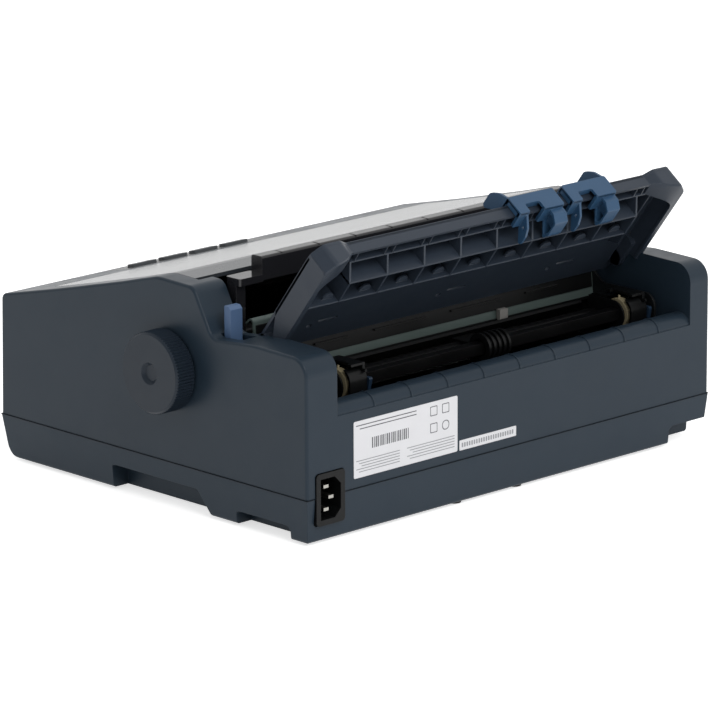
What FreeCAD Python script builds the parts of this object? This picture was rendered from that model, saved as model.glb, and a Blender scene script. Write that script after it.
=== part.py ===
import FreeCAD, Part
import math
import os

# Desktop dot matrix printer with a folding paper guide over its rear tractors.
# Millimetres. While the pieces are made, x runs to the printer's right, y to its rear and z up,
# with x = 0 and y = 0 at the middle of the case and z = 0 where the feet stand.
# The last step moves all pieces together, so that the origin is under the middle of the whole printer.

# Fits and margins
overrun = 1.0
fit_gap = 0.35
running_gap = 0.05
merge_gap = 0.0001

# Case
case_width = 348.0
case_depth = 275.0
case_height = 142.3
case_wall = 2.5
seam_height = 29.0
foot_height = 1.5
front_bulge = 1.9
front_taper = 4.8
rear_taper = 2.5
side_taper = 2.5
nose_rounding = 10.0
case_edge_rounding = 1.8
bottom_edge_rounding = 2.0
right_band = 25.0
left_band = 17.5
band_wall = 2.5

# Outline of the case seen from its side, front to rear: share of depth, share of height, rounding
front_top_rounding = 4.0
crest_rounding = 60.0
peak_rounding = 25.0
shoulder_rounding = 8.0
valley_rounding = 8.0
rear_top_rounding = 12.0
top_outline_shares = (
    (0.0, 0.745, front_top_rounding),
    (0.193, 0.833, crest_rounding),
    (0.407, 0.9375, crest_rounding),
    (0.526, 1.0, peak_rounding),
    (0.6455, 0.9944, shoulder_rounding),
    (0.7036, 0.789, valley_rounding),
    (0.8335, 0.8103, crest_rounding),
    (1.0, 0.8035, rear_top_rounding),
)

# Rear opening and its rolled lip
well_front = 30.0
lip_below_platen = 4.0
lip_seam_drop = 7.0
lip_step = 0.8
lip_depth = 17.5
lip_flat = 12.5
lip_drop = 9.0
lip_rounding = 6.0
lip_bend = 3.0
lip_rib_width = 1.0
lip_rib_rise = 0.5
paper_rib_pitch = 30.8
paper_rib_inset = 2.2

# Hand recesses in the lower case
recess_depth = 14.0
hand_recess_rear_inset = 84.0
hand_recess_length = 90.5
hand_recess_height = 16.5
hand_recess_slant = 13.5
small_recess_rear_inset = 16.5
small_recess_length = 47.0
small_recess_height = 10.0
small_recess_rounding = 4.0
rear_recess_width = 34.0
rear_recess_height = 13.0
rear_recess_depth = 16.0
recess_rounding = 2.0
vent_count = 9
vent_pitch = 12.0
vent_width = 3.0
vent_length = 42.0
vent_front_inset = 75.5

# Screw posts, screws and feet
post_radius = 4.5
post_bore = 1.7
post_inset = 6.5
post_top = 60.0
front_post_inset = 29.5
rear_post_inset = 9.0
inner_post_inset = 54.0
screw_radius = 1.5
screw_head_radius = 3.0
screw_head_height = 2.0
screw_length = 34.0
foot_radius = 8.0
foot_inset_x = 28.0
front_foot_inset = 25.5
rear_foot_inset = 33.5
small_foot_radius = 4.5
small_foot_inset = 9.5
small_foot_spread = 26.0
small_foot_middle = 17.0

# Sheet metal and the side frames of the mechanism
sheet = 1.2
frame_sheet = 1.6
right_frame_gap = 6.0
left_frame_gap = 7.7
frame_front_reach = 34.0
frame_rear_reach = 14.0
frame_above_platen = 21.0
frame_above_tractor = 11.0
frame_corner_rounding = 8.0
frame_window_rounding = 6.0

# Platen, its shaft and its knob
platen_to_rear = 120.0
platen_height_share = 0.611384
platen_radius = 16.5
platen_right_gap = 15.0
platen_left_gap = 20.8
platen_shaft_radius = 4.0
bush_radius = 7.0
bush_width = 6.0
knob_radius = 25.3
knob_gap = 0.6
knob_width = 15.4
knurl_count = 80
knurl_depth = 0.8
knob_edge_rounding = 1.6
knob_dimple_radius = 7.0
knob_dimple_depth = 2.2
knob_hub_radius = 9.0
shaft_end_wall = 4.0

# Gear train inside the right band
gear_module = 1.5
gear_wall_gap = 5.0
gear_width = 6.0
platen_gear_teeth = 24
idler_gear_teeth = 18
tractor_gear_teeth = 18
pinion_teeth = 10
addendum_share = 0.8
dedendum_share = 1.15
tooth_tip_share = 0.1
tooth_pitch_share = 0.2
tooth_root_share = 0.27
idler_pin_radius = 3.0
first_idler_angle = -12.0
pinion_angle = -90.0

# Feed motor
feed_motor_radius = 17.0
feed_motor_length = 14.0
motor_shaft_radius = 2.0

# Tractors
tractor_to_rear = 37.5
tractor_below_platen = 5.0
right_tractor_inset = 35.0
left_tractor_inset = 12.8
tractor_width = 14.0
tractor_front_reach = 17.0
tractor_rear_reach = 13.0
tractor_bottom_drop = 12.0
tractor_top_rise = 10.0
tractor_rounding = 7.0
square_shaft_side = 7.0
square_shaft_journal = 3.5
sprocket_radius = 9.5
sprocket_width = 5.0
sprocket_pin_count = 5
sprocket_pin_radius = 1.3
sprocket_pin_rise = 1.8
sprocket_bore_gap = 0.1
guide_shaft_radius = 4.0
guide_shaft_reach = 19.0
guide_shaft_drop = 3.5
flap_sheet = 1.5
flap_width = 11.5
flap_length = 23.0
flap_pin_radius = 1.0
flap_slot_width = 3.5
lock_pin_radius = 2.0
lock_lever_sheet = 2.5
lock_lever_length = 11.0
lock_lever_width = 5.0
lock_lever_x_gap = 0.4
lock_pivot_reach = 10.0
lock_pivot_drop = 7.0

# Paper support between the tractors
support_offset = 13.6
support_width = 19.0
support_rib_count = 5
support_rib_width = 1.8
support_radius = 9.0
support_core_radius = 7.2
support_bore = 5.6

# Paper path sheets
rear_plate_top_reach = 40.2
rear_plate_top_rise = 34.5
rear_plate_bottom_reach = 43.5
rear_plate_bottom_drop = 5.0
rear_plate_rounding = 2.0
chute_sheet = 2.0
chute_gap = 3.0
chute_rear_reach = 55.0
chute_rear_drop = 1.5
chute_bend_reach = 44.5
chute_bend_drop = 10.0
chute_front_angle = -130.0
chute_rear_angle = -52.0
chute_inset = 2.0
sensor_inset = 84.8
sensor_width = 7.0
sensor_depth = 3.5
sensor_height = 8.0

# Print head carriage, its rod, rail, belt and motor
rod_reach = 59.5
rod_drop = 25.0
rod_radius = 4.0
rail_reach = 28.0
rail_height = 18.0
rail_drop = 10.0
rail_flange = 9.0
carriage_width = 40.0
carriage_front_reach = 7.6
carriage_rear_reach = 34.0
carriage_deck_rise = 12.0
carriage_rounding = 3.0
head_width = 26.0
head_front_reach = 4.0
head_rear_reach = 26.0
head_height = 27.0
head_fin_count = 6
head_fin_gap = 2.0
head_fin_floor = 8.0
nose_width = 12.0
nose_gap = 2.4
nose_tip_half_height = 5.0
nose_root_half_height = 9.0
belt_reach = 18.0
belt_right_inset = 23.0
belt_left_inset = 22.8
belt_drop = 7.0
belt_width = 5.0
belt_thickness = 1.2
pulley_radius = 7.5
pulley_flange = 1.0
pulley_flange_rise = 1.2
pulley_bore = 2.5
carriage_motor_radius = 17.0
carriage_motor_lift = 1.8
carriage_motor_drop = 8.0
motor_collar_radius = 5.0
motor_collar_height = 2.0
tensioner_drop = 6.0
tensioner_width = 20.0
tensioner_depth = 18.0

# Ribbon cartridge
ribbon_depth = 38.0
ribbon_reach = 18.0
ribbon_drop = 7.0
ribbon_height = 19.0
ribbon_arm_width = 9.0
ribbon_arm_gap = 0.5
ribbon_arm_end_gap = 2.2
ribbon_arm_height = 13.0
ribbon_arm_lift = 2.0
ribbon_rounding = 8.0
ribbon_wall = 1.6
ribbon_band_height = 9.0
ribbon_band_thickness = 0.3
ribbon_band_gap = 1.6
ribbon_knob_radius = 8.0
ribbon_knob_rise = 4.0
ribbon_knob_lobes = 12

# Paper thickness lever, on the left end of the carriage rod
thickness_lever_sheet = 3.0
thickness_lever_gap = 1.0
thickness_lever_length = 40.0
thickness_lever_width = 7.0
thickness_hub_radius = 7.5
thickness_tab_width = 8.0

# Printer cover
cover_side_strip = 14.0
cover_front_inset = 34.5
cover_rear_reach = 3.0
cover_sheet = 2.5
cover_hinge_inset = 7.0
cover_hinge_depth = 5.7
cover_pin_radius = 1.8
cover_pin_length = 5.0
cover_ear_radius = 4.2
cover_ear_width = 3.5
cover_ear_inset = 7.5
cover_rib_count = 5
cover_rib_width = 1.6
cover_rib_drop = 5.0
ledge_width = 3.0
ledge_sheet = 2.0
rim_wall_depth = 14.0

# Control panel and its buttons, on the sloping front of the top
panel_width = 128.0
panel_inset = 80.0
panel_start = 6.0
panel_length = 22.0
panel_sheet = 2.2
panel_recess = 1.6
panel_rounding = 2.5
button_count = 4
button_pitch = 26.0
first_button_inset = 20.6
button_width = 20.5
button_length = 7.0
button_rise = 1.8
button_stem_depth = 6.0
button_flange = 1.2
button_flange_sheet = 1.0
button_rounding = 2.0
button_along = 19.0
button_travel = 0.8
switch_board_sheet = 1.6
switch_board_margin = 3.5
light_radius = 1.2
light_offset = 14.5

# Mains inlet in the rear wall
inlet_inset = 7.0
inlet_width = 23.2
inlet_lift = 11.7
inlet_height = 31.9
inlet_depth = 26.0
inlet_proud = 0.8
inlet_rim = 3.4
inlet_rounding = 2.5
inlet_socket_depth = 17.0
inlet_chamfer = 5.0
inlet_pin_width = 4.0
inlet_pin_sheet = 2.0
inlet_pin_spacing = 7.0
inlet_pin_length = 15.0
inlet_earth_shift = 4.0
inlet_tail_length = 6.0

# Interface connectors in the left side
port_window_length = 64.0
port_window_inset = 27.5
port_window_bottom = 33.0
port_window_height = 23.0
parallel_length = 44.0
parallel_height = 12.0
parallel_depth = 15.0
parallel_rounding = 3.0
usb_size = 12.0
usb_depth = 15.0
usb_slot = 8.0
port_gap = 6.0
band_wall_lift = 2.0
port_board_sheet = 1.6

# Power switch in the left side
switch_inset = 49.5
switch_z = 17.0
switch_length = 21.0
switch_height = 13.0
switch_depth = 14.0
switch_rim = 1.2
rocker_radius = 16.0
rocker_pivot_inset = 9.0
rocker_pin_radius = 1.2

# Boards under the mechanism
board_sheet = 1.6
board_lift = 7.0
board_depth = 44.0
board_rear_inset = 31.5
main_board_inset = 8.8
board_spacing = 10.0
power_board_length = 92.0
power_board_inset = 7.0
board_post_radius = 2.5
board_post_inset = 5.0
chip_shares = ((0.12, 0.3, 0.16, 0.4, 2.5), (0.4, 0.25, 0.12, 0.3, 2.5), (0.62, 0.55, 0.2, 0.25, 4.0))
transformer_inset = 12.0
transformer_length = 46.0
transformer_width = 34.0
transformer_height = 34.0
coil_margin = 6.0
coil_rise = 3.5
capacitor_radius = 8.0
capacitor_height = 25.0
capacitor_inset = 13.0

# Paper tension unit
bar_reach = 24.0
bar_depth = 9.5
bar_lift = 31.3
bar_height = 14.7
bar_rounding = 1.8
bar_right_inset = 15.0
bar_left_inset = 13.8
bar_sheet = 2.0
bar_notch_width = 1.2
bar_notch_depth = 0.8
bar_notch_length = 6.0
bar_notch_inset = 16.0
flange_rise = 3.7
flange_sheet = 4.5
flange_front_reach = 3.5
flange_reach = 18.0
seat_gap = 0.3
arm_width = 4.0
arm_gap = 0.5
tension_roller_radius = 5.0
tension_roller_width = 12.0
tension_shaft_radius = 2.0
tension_roller_count = 4
tension_angle = 50.0

# Paper release lever
release_pivot_reach = 42.5
release_pivot_drop = 27.0
release_pin_radius = 3.0
release_hub_radius = 6.5
release_inset = 13.0
release_sheet = 3.0
release_width = 6.0
release_tab_inset = 6.5
release_tab_width = 9.5
release_tab_depth = 5.5
release_tab_shift = 0.25
release_tab_height = 23.0
release_tab_rise = 18.86
release_tab_chamfer = 2.0
release_slot_ahead = 2.0
release_slot_behind = 11.5
release_slot_margin = 1.2

# Folding paper guide, drawn raised: s runs up the plate, n from its front face to its ribbed rear
guide_angle = 52.64
guide_hinge_to_rear = 62.183
guide_hinge_depth = 4.1
guide_side_gap = 2.0
guide_sheet = 2.0
guide_wall = 2.5
guide_bottom_s = -37.0
guide_rail_s = 53.0
guide_rail_width = 3.6
guide_rail_depth = 9.0
guide_depth = 16.5
guide_corner_s = 59.0
guide_corner_width = 27.0
guide_corner_start_s = 46.0
guide_corner_rounding = 8.0
guide_corner_top_rounding = 5.0
guide_shoulder = 6.5
guide_hinge_s = -24.0
guide_hinge_n = 4.0
guide_pin_radius = 3.0
guide_pin_length = 4.0
guide_lug_radius = 5.5
guide_lug_width = 6.0
guide_upper_rib_s = 45.5
guide_lower_rib_s = 34.0
guide_rib_foot_s = -6.0
guide_rib_width = 1.4
guide_heel_s = -15.0
guide_heel_n = 8.5
guide_arch_s = 6.0
guide_arch_radius = 2.6
guide_thin_rib_width = 0.8
guide_thin_rib_gap = 5.0
guide_notch_width = 14.0
guide_notch_depth = 1.6
guide_notch_shares = (0.831, 0.479, 0.168)
guide_window_s = -20.0

# Sliding edge guides on the top rail of the paper guide
edge_guide_width = 46.0
right_edge_guide_inset = 125.9
left_edge_guide_inset = 73.8
edge_sheet = 2.0
edge_top_s = 58.0
edge_front_hook_s = 46.8
edge_leg_s = 41.0
edge_cut_s = 54.6
edge_left_leg = 11.0
edge_right_leg = 16.0
edge_fin_n = -15.0
edge_fin_top_s = 53.0
edge_fin_bottom_s = 36.0
edge_fin_sheet = 1.8
edge_hook_tip_s = 35.6
edge_hook_tip_n = 18.0
lock_box_width = 13.0
lock_box_wall = 1.6
lock_box_n = 20.0


def point(x, y, z):
    return FreeCAD.Vector(x, y, z)


def rounded_wire(corners, place):
    """Closed wire through (a, b, rounding) corners; place puts a flat point into space."""
    bends = []
    for index, (a, b, rounding) in enumerate(corners):
        corner = point(a, b, 0)
        before = corners[index - 1]
        after = corners[(index + 1) % len(corners)]
        back = (point(before[0], before[1], 0) - corner).normalize()
        ahead = (point(after[0], after[1], 0) - corner).normalize()
        half_opening = back.getAngle(ahead) / 2
        if rounding > 0:
            run = rounding / math.tan(half_opening)
            middle_way = (back + ahead).normalize()
            top = corner + middle_way * (rounding / math.sin(half_opening) - rounding)
            bends.append((corner + back * run, top, corner + ahead * run))
        else:
            bends.append((corner, None, corner))
    edges = []
    for index, (enter, top, leave) in enumerate(bends):
        if top is not None:
            edges.append(Part.Arc(place(enter), place(top), place(leave)).toShape())
        following = bends[(index + 1) % len(bends)][0]
        if leave.distanceToPoint(following) > merge_gap:
            edges.append(Part.LineSegment(place(leave), place(following)).toShape())
    return Part.Wire(edges)


def sharp(pairs):
    """Corners with no rounding."""
    return [(a, b, 0) for a, b in pairs]


def alike(pairs, rounding):
    """Corners that all have the same rounding."""
    return [(a, b, rounding) for a, b in pairs]


def prism(corners, axis, low, high):
    """Solid with a rounded outline across an axis: (y, z) for x, (x, z) for y, (x, y) for z."""
    if axis == "x":
        wire = rounded_wire(corners, lambda flat: point(low, flat.x, flat.y))
        reach = point(high - low, 0, 0)
    elif axis == "y":
        wire = rounded_wire(corners, lambda flat: point(flat.x, low, flat.y))
        reach = point(0, high - low, 0)
    else:
        wire = rounded_wire(corners, lambda flat: point(flat.x, flat.y, low))
        reach = point(0, 0, high - low)
    solid = Part.Face(wire).extrude(reach)
    if solid.Volume < 0:
        solid.reverse()
    return solid


def block(x0, x1, y0, y1, z0, z1):
    return Part.makeBox(x1 - x0, y1 - y0, z1 - z0, point(x0, y0, z0))


def cylinder(axis, a, b, low, high, radius):
    """Round bar along an axis; a and b are its place across that axis, in x, y, z order."""
    starts = {"x": point(low, a, b), "y": point(a, low, b), "z": point(a, b, low)}
    ways = {"x": point(1, 0, 0), "y": point(0, 1, 0), "z": point(0, 0, 1)}
    return Part.makeCylinder(radius, high - low, starts[axis], ways[axis])


def join(shapes):
    """One shape from pieces that touch or overlap, without the seams between them."""
    whole = shapes[0]
    if len(shapes) > 1:
        whole = whole.multiFuse(shapes[1:])
    return whole.removeSplitter()


def strip(path, thickness):
    """Outline of a bent sheet whose middle line runs through (a, b, rounding) points."""
    half = thickness / 2
    sides = ([], [])
    for index, (a, b, rounding) in enumerate(path):
        here = point(a, b, 0)
        steps = []
        if index > 0:
            steps.append((here - point(path[index - 1][0], path[index - 1][1], 0)).normalize())
        if index < len(path) - 1:
            steps.append((point(path[index + 1][0], path[index + 1][1], 0) - here).normalize())
        heading = (steps[0] + steps[-1]).normalize()
        normal = point(-heading.y, heading.x, 0)
        spread = half / heading.dot(steps[0])
        turn = 0 if len(steps) == 1 else steps[0].x * steps[1].y - steps[0].y * steps[1].x
        for side, sign in zip(sides, (1, -1)):
            spot = here + normal * (spread * sign)
            bend = rounding
            if rounding > 0:
                bend = rounding - half * sign if turn > 0 else rounding + half * sign
            side.append((spot.x, spot.y, bend))
    return sides[0] + sides[1][::-1]


def ring_points(count, radii, start=0.0):
    """Flat points round a circle, taking the radii in turn."""
    points = []
    for index in range(count):
        angle = start + 2 * math.pi * index / count
        radius = radii[index % len(radii)]
        points.append((radius * math.cos(angle), radius * math.sin(angle)))
    return points


# Outer limits of the case and of the rear well between its two bands
half_width = case_width / 2
front_y = -case_depth / 2
rear_y = case_depth / 2
well_right = half_width - right_band
well_left = -half_width + left_band
floor_top = foot_height + case_wall
cover_right = half_width - cover_side_strip
top_outline = [
    (front_y + case_depth * depth_share, case_height * height_share, rounding)
    for depth_share, height_share, rounding in top_outline_shares
]


def top_height(y):
    """Height of the unrounded top of the case at a place from front to rear."""
    for (y0, z0, _), (y1, z1, _) in zip(top_outline, top_outline[1:]):
        if y0 <= y <= y1:
            return z0 + (z1 - z0) * (y - y0) / (y1 - y0)
    return top_outline[-1][1]


# Main axes of the mechanism, set from the rear of the case and from its height
platen_y = rear_y - platen_to_rear
platen_z = case_height * platen_height_share
tractor_y = rear_y - tractor_to_rear
tractor_z = platen_z - tractor_below_platen
guide_shaft_y = tractor_y - guide_shaft_reach
guide_shaft_z = tractor_z - guide_shaft_drop
lock_pivot_y = tractor_y + lock_pivot_reach
lock_pivot_z = tractor_z - lock_pivot_drop
rod_y = platen_y - rod_reach
rod_z = platen_z - rod_drop
belt_y = rod_y - belt_reach
belt_bottom_z = rod_z - belt_drop

# Side frames and what ends at them
frame_right = well_right - right_frame_gap
frame_left = well_left + left_frame_gap
frame_front = rod_y - frame_front_reach
frame_rear = tractor_y + frame_rear_reach
frame_top = platen_z + frame_above_platen
frame_rear_top = tractor_z + frame_above_tractor
platen_right = frame_right - platen_right_gap
platen_left = frame_left + platen_left_gap
gear_inner_x = well_right + gear_wall_gap
knob_inner_x = half_width + knob_gap
knob_outer_x = knob_inner_x + knob_width
right_tractor_x = frame_right - right_tractor_inset
left_tractor_x = frame_left + left_tractor_inset
belt_right_x = frame_right - belt_right_inset
belt_left_x = frame_left + belt_left_inset

# Rear lip and the marks and ribs along the paper's way
lip_height = platen_z - lip_below_platen
lip_seam_height = lip_height - lip_seam_drop
guide_right_x = well_right - guide_side_gap
guide_left_x = well_left + guide_side_gap
guide_inner_right = guide_right_x - guide_corner_width
guide_inner_left = guide_left_x + guide_corner_width
first_paper_rib = guide_inner_right - paper_rib_inset
paper_rib_count = int((first_paper_rib - guide_left_x - guide_wall) / paper_rib_pitch) + 1
paper_rib_places = [first_paper_rib - paper_rib_pitch * index for index in range(paper_rib_count)]

# Plates, rail and carriage
rear_plate_top_y = platen_y + rear_plate_top_reach
rear_plate_top_z = platen_z + rear_plate_top_rise
rear_plate_bottom_y = platen_y + rear_plate_bottom_reach
rear_plate_bottom_z = platen_z - rear_plate_bottom_drop
rail_y = rod_y + rail_reach
rail_top_z = rod_z - rail_drop
rail_bottom_z = rail_top_z - rail_height
carriage_front_y = rod_y - carriage_front_reach
carriage_rear_y = rod_y + carriage_rear_reach
carriage_deck_z = rod_z + carriage_deck_rise
nose_tip_y = platen_y - platen_radius - nose_gap

# Ribbon cartridge
ribbon_rear_y = rod_y - ribbon_reach
ribbon_front_y = ribbon_rear_y - ribbon_depth
ribbon_bottom_z = platen_z - ribbon_drop
ribbon_top_z = ribbon_bottom_z + ribbon_height
ribbon_arm_right_x = platen_right + ribbon_arm_gap
ribbon_arm_left_x = platen_left - ribbon_arm_gap
ribbon_arm_end_y = platen_y - platen_radius - ribbon_arm_end_gap
ribbon_arm_bottom_z = ribbon_bottom_z + ribbon_arm_lift
ribbon_arm_top_z = ribbon_arm_bottom_z + ribbon_arm_height
ribbon_band_y = platen_y - platen_radius - ribbon_band_gap

# Cover, panel, mains inlet, connectors and switch
cover_front = front_y + cover_front_inset
cover_hinge_y = well_front - cover_hinge_inset
cover_rear = cover_hinge_y + cover_rear_reach
cover_hinge_z = top_height(cover_hinge_y) - cover_hinge_depth
panel_right_x = half_width - panel_inset
panel_left_x = panel_right_x - panel_width
first_button_x = panel_right_x - first_button_inset
inlet_right = half_width - inlet_inset
inlet_left = inlet_right - inlet_width
inlet_bottom = inlet_lift
inlet_top = inlet_bottom + inlet_height
port_window_rear = rear_y - port_window_inset
port_window_front = port_window_rear - port_window_length
port_window_top = port_window_bottom + port_window_height
band_wall_bottom = port_window_top + band_wall_lift
switch_y = front_y + switch_inset

# Boards
board_rear = rear_y - board_rear_inset
board_front = board_rear - board_depth
power_board_right = frame_right - power_board_inset
power_board_left = power_board_right - power_board_length
main_board_left = frame_left + main_board_inset
main_board_right = power_board_left - board_spacing

# Tension unit and release lever
bar_front_y = platen_y + bar_reach
bar_rear_y = bar_front_y + bar_depth
bar_bottom_z = frame_top + bar_lift
bar_top_z = bar_bottom_z + bar_height
bar_right_x = frame_right - bar_right_inset
bar_left_x = frame_left + bar_left_inset
flange_top_z = bar_bottom_z + flange_rise
flange_front_y = bar_front_y - flange_front_reach
release_pivot_y = platen_y + release_pivot_reach
release_pivot_z = platen_z - release_pivot_drop
release_inner_x = well_right + release_inset
release_tab_inner_x = well_right + release_tab_inset
release_tab_outer_x = release_tab_inner_x + release_tab_width
release_tab_middle_y = release_pivot_y + release_tab_shift
release_tab_front_y = release_tab_middle_y - release_tab_depth / 2
release_tab_rear_y = release_tab_middle_y + release_tab_depth / 2
release_tab_top_z = top_height(release_tab_middle_y) + release_tab_rise
release_tab_bottom_z = release_tab_top_z - release_tab_height
release_slot_front_y = release_tab_front_y - release_slot_ahead
release_slot_rear_y = release_tab_rear_y + release_slot_behind


def case_block(bottom, drop, left, right):
    """The case above a height, as a full block whose top lies a drop below the real one."""
    corners = [(front_y - front_bulge, bottom, 0)]
    corners += [(y, z - drop, rounding) for y, z, rounding in top_outline]
    corners += [(rear_y, bottom, 0)]
    return prism(corners, "x", left, right)


def lower_case():
    bottom_side = [
        (front_y - front_bulge, seam_height, 0),
        (front_y - front_bulge + front_taper, foot_height, nose_rounding),
        (rear_y - rear_taper, foot_height, bottom_edge_rounding),
        (rear_y, seam_height, 0),
    ]
    bottom_front = [
        (-half_width, seam_height, 0),
        (-half_width + side_taper, foot_height, bottom_edge_rounding),
        (half_width - side_taper, foot_height, bottom_edge_rounding),
        (half_width, seam_height, 0),
    ]
    outer = prism(bottom_side, "x", -half_width, half_width)
    outer = outer.common(prism(bottom_front, "y", front_y - front_bulge, rear_y))
    inner_side = [
        (front_y - front_bulge + case_wall, seam_height + overrun, 0),
        (front_y - front_bulge + front_taper + case_wall, floor_top, nose_rounding - case_wall),
        (rear_y - rear_taper - case_wall, floor_top, 0),
        (rear_y - case_wall, seam_height + overrun, 0),
    ]
    inner_front = [
        (-half_width + case_wall, seam_height + overrun, 0),
        (-half_width + side_taper + case_wall, floor_top, 0),
        (half_width - side_taper - case_wall, floor_top, 0),
        (half_width - case_wall, seam_height + overrun, 0),
    ]
    cavity = prism(inner_side, "x", -half_width, half_width)
    cavity = cavity.common(prism(inner_front, "y", front_y, rear_y))
    recesses = []
    lining = []
    for side in (1, -1):
        outside = side * (half_width + overrun)
        inside = side * (half_width - recess_depth)
        back = side * (half_width - recess_depth - case_wall)
        low, high = sorted((outside, inside))
        wide_low, wide_high = sorted((outside, back))
        recesses.append(prism(hand_recess_outline(0), "x", low, high))
        recesses.append(prism(small_recess_outline(0), "x", low, high))
        lining.append(prism(hand_recess_outline(case_wall), "x", wide_low, wide_high))
        lining.append(prism(small_recess_outline(case_wall), "x", wide_low, wide_high))
    recesses.append(rear_recess(0))
    lining.append(rear_recess(case_wall))
    shell = outer.cut(cavity.cut(Part.makeCompound(lining)))
    shell = shell.cut(Part.makeCompound(recesses))
    posts = []
    for x, y, lift in post_places():
        posts.append(cylinder("z", x, y, foot_height + lift, seam_height, post_radius).common(outer))
    shell = join([shell] + posts)
    cuts = [inlet_opening(), switch_opening()] + vents()
    for x, y, lift in post_places():
        cuts.append(cylinder("z", x, y, 0, seam_height + overrun, post_bore))
        cuts.append(cylinder("z", x, y, 0, floor_top + lift + screw_head_height, screw_head_radius + fit_gap))
    return shell.cut(Part.makeCompound(cuts))


def vents():
    """Row of air slots through the floor and through the shield that lies on it."""
    first = -vent_pitch * (vent_count - 1) / 2
    front = front_y + vent_front_inset
    return [block(x, x + vent_width, front, front + vent_length, 0, floor_top + sheet + overrun)
            for x in (first + vent_pitch * index for index in range(vent_count))]


def hand_recess_outline(grow):
    rear = rear_y - hand_recess_rear_inset + grow
    front = rear - hand_recess_length - grow * 2
    top = hand_recess_height + grow
    return [(front, -overrun, 0), (front, top, recess_rounding),
            (rear - hand_recess_slant, top, recess_rounding), (rear, -overrun, 0)]


def small_recess_outline(grow):
    rear = rear_y - small_recess_rear_inset + grow
    front = rear - small_recess_length - grow * 2
    top = small_recess_height + grow
    return [(front, -overrun, 0), (front, top, recess_rounding), (rear, top, small_recess_rounding),
            (rear, -overrun, 0)]


def rear_recess(grow):
    inner_x = -half_width + rear_recess_width + grow
    outline = [
        (-half_width - overrun, -overrun, 0),
        (inner_x, -overrun, 0),
        (inner_x, rear_recess_height + grow, small_recess_rounding),
        (-half_width - overrun, rear_recess_height + grow, 0),
    ]
    return prism(outline, "y", rear_y - rear_recess_depth - grow, rear_y + overrun)


def post_places():
    """Places of the screw posts, each with the height of the case's underside there above the floor's."""
    side_x = half_width - post_inset
    front = front_y + front_post_inset
    over_recess = rear_recess_height - foot_height
    return ((side_x, front, 0), (-side_x, front, 0), (-side_x, rear_y - rear_post_inset, over_recess),
            (half_width - inner_post_inset, rear_y - post_inset, 0))


def inlet_opening():
    grow = fit_gap
    outline = alike(((inlet_left - grow, inlet_bottom - grow), (inlet_right + grow, inlet_bottom - grow),
                     (inlet_right + grow, inlet_top + grow), (inlet_left - grow, inlet_top + grow)),
                    inlet_rounding)
    return prism(outline, "y", rear_y - inlet_depth, rear_y + overrun)


def switch_opening():
    return block(-half_width - overrun, -half_width + side_taper + case_wall + overrun,
                 switch_y - switch_length / 2, switch_y + switch_length / 2,
                 switch_z - switch_height / 2, switch_z + switch_height / 2)


def upper_case():
    outer = case_block(seam_height, 0, -half_width, half_width)
    side_edges = [edge for edge in outer.Edges if on_side(edge) and above_seam(edge)]
    outer = outer.makeFillet(case_edge_rounding, side_edges)
    cavity = case_block(0, case_wall, -half_width + case_wall, half_width - case_wall)
    cavity = cavity.common(block(-half_width, half_width, front_y - front_bulge + case_wall,
                                 rear_y - case_wall, 0, case_height))
    shell = outer.cut(cavity)
    shell = shell.cut(rear_well())
    cover_hole = block(-cover_right, cover_right, cover_front, well_front, cover_floor(),
                       case_height + overrun)
    shell = shell.cut(cover_hole)
    walls = [shell, rear_lip()]
    walls += band_walls()
    walls += cover_rim()
    for x, y, lift in post_places():
        walls.append(cylinder("z", x, y, seam_height, post_top, post_radius).common(outer))
    walls.append(cylinder("x", release_pivot_y, release_pivot_z, release_inner_x - fit_gap,
                          half_width - case_wall / 2, release_pin_radius))
    whole = join(walls)
    cuts = [inlet_opening(), port_opening(), release_slot(), panel_opening()]
    for x, y, lift in post_places():
        cuts.append(cylinder("z", x, y, 0, post_top - case_wall, post_bore))
    cuts.append(cylinder("x", platen_y, platen_z, half_width - case_wall - overrun, half_width + overrun,
                         platen_shaft_radius + fit_gap))
    cuts.append(cylinder("x", tractor_y, tractor_z, well_right - overrun, well_right + band_wall + overrun,
                         square_shaft_journal + fit_gap))
    through = (well_right - overrun, well_right + band_wall + overrun)
    for y, z in idler_places():
        cuts.append(cylinder("x", y, z, through[0], through[1], idler_pin_radius + fit_gap))
    y, z = pinion_place()
    cuts.append(cylinder("x", y, z, through[0], through[1], motor_shaft_radius + fit_gap))
    hinge_y, hinge_z = guide_hinge_place()
    for side in (1, -1):
        ends = sorted((side * (cover_right - overrun), side * (cover_right + case_wall + overrun)))
        cuts.append(cylinder("x", cover_hinge_y, cover_hinge_z, ends[0], ends[1],
                             cover_pin_radius + running_gap))
    for low, high in ((well_right - overrun, well_right + band_wall + overrun),
                      (well_left - band_wall - overrun, well_left + overrun)):
        cuts.append(cylinder("x", hinge_y, hinge_z, low, high, guide_pin_radius + running_gap))
    return whole.cut(Part.makeCompound(cuts))


def on_side(edge):
    box = edge.BoundBox
    return box.XLength < merge_gap and abs(abs(box.XMin) - half_width) < merge_gap


def above_seam(edge):
    return edge.BoundBox.ZMax > seam_height + merge_gap and edge.BoundBox.YMax < rear_y + overrun


def cover_floor():
    return seam_height + case_wall


def rear_well():
    """What is cut away between the two bands, down to the lip."""
    outline = [
        (well_left, lip_seam_height, 0),
        (well_right, lip_seam_height, 0),
        (well_right, case_height + overrun, 0),
        (well_left, case_height + overrun, 0),
    ]
    return prism(outline, "y", well_front - overrun, rear_y + overrun)


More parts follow.
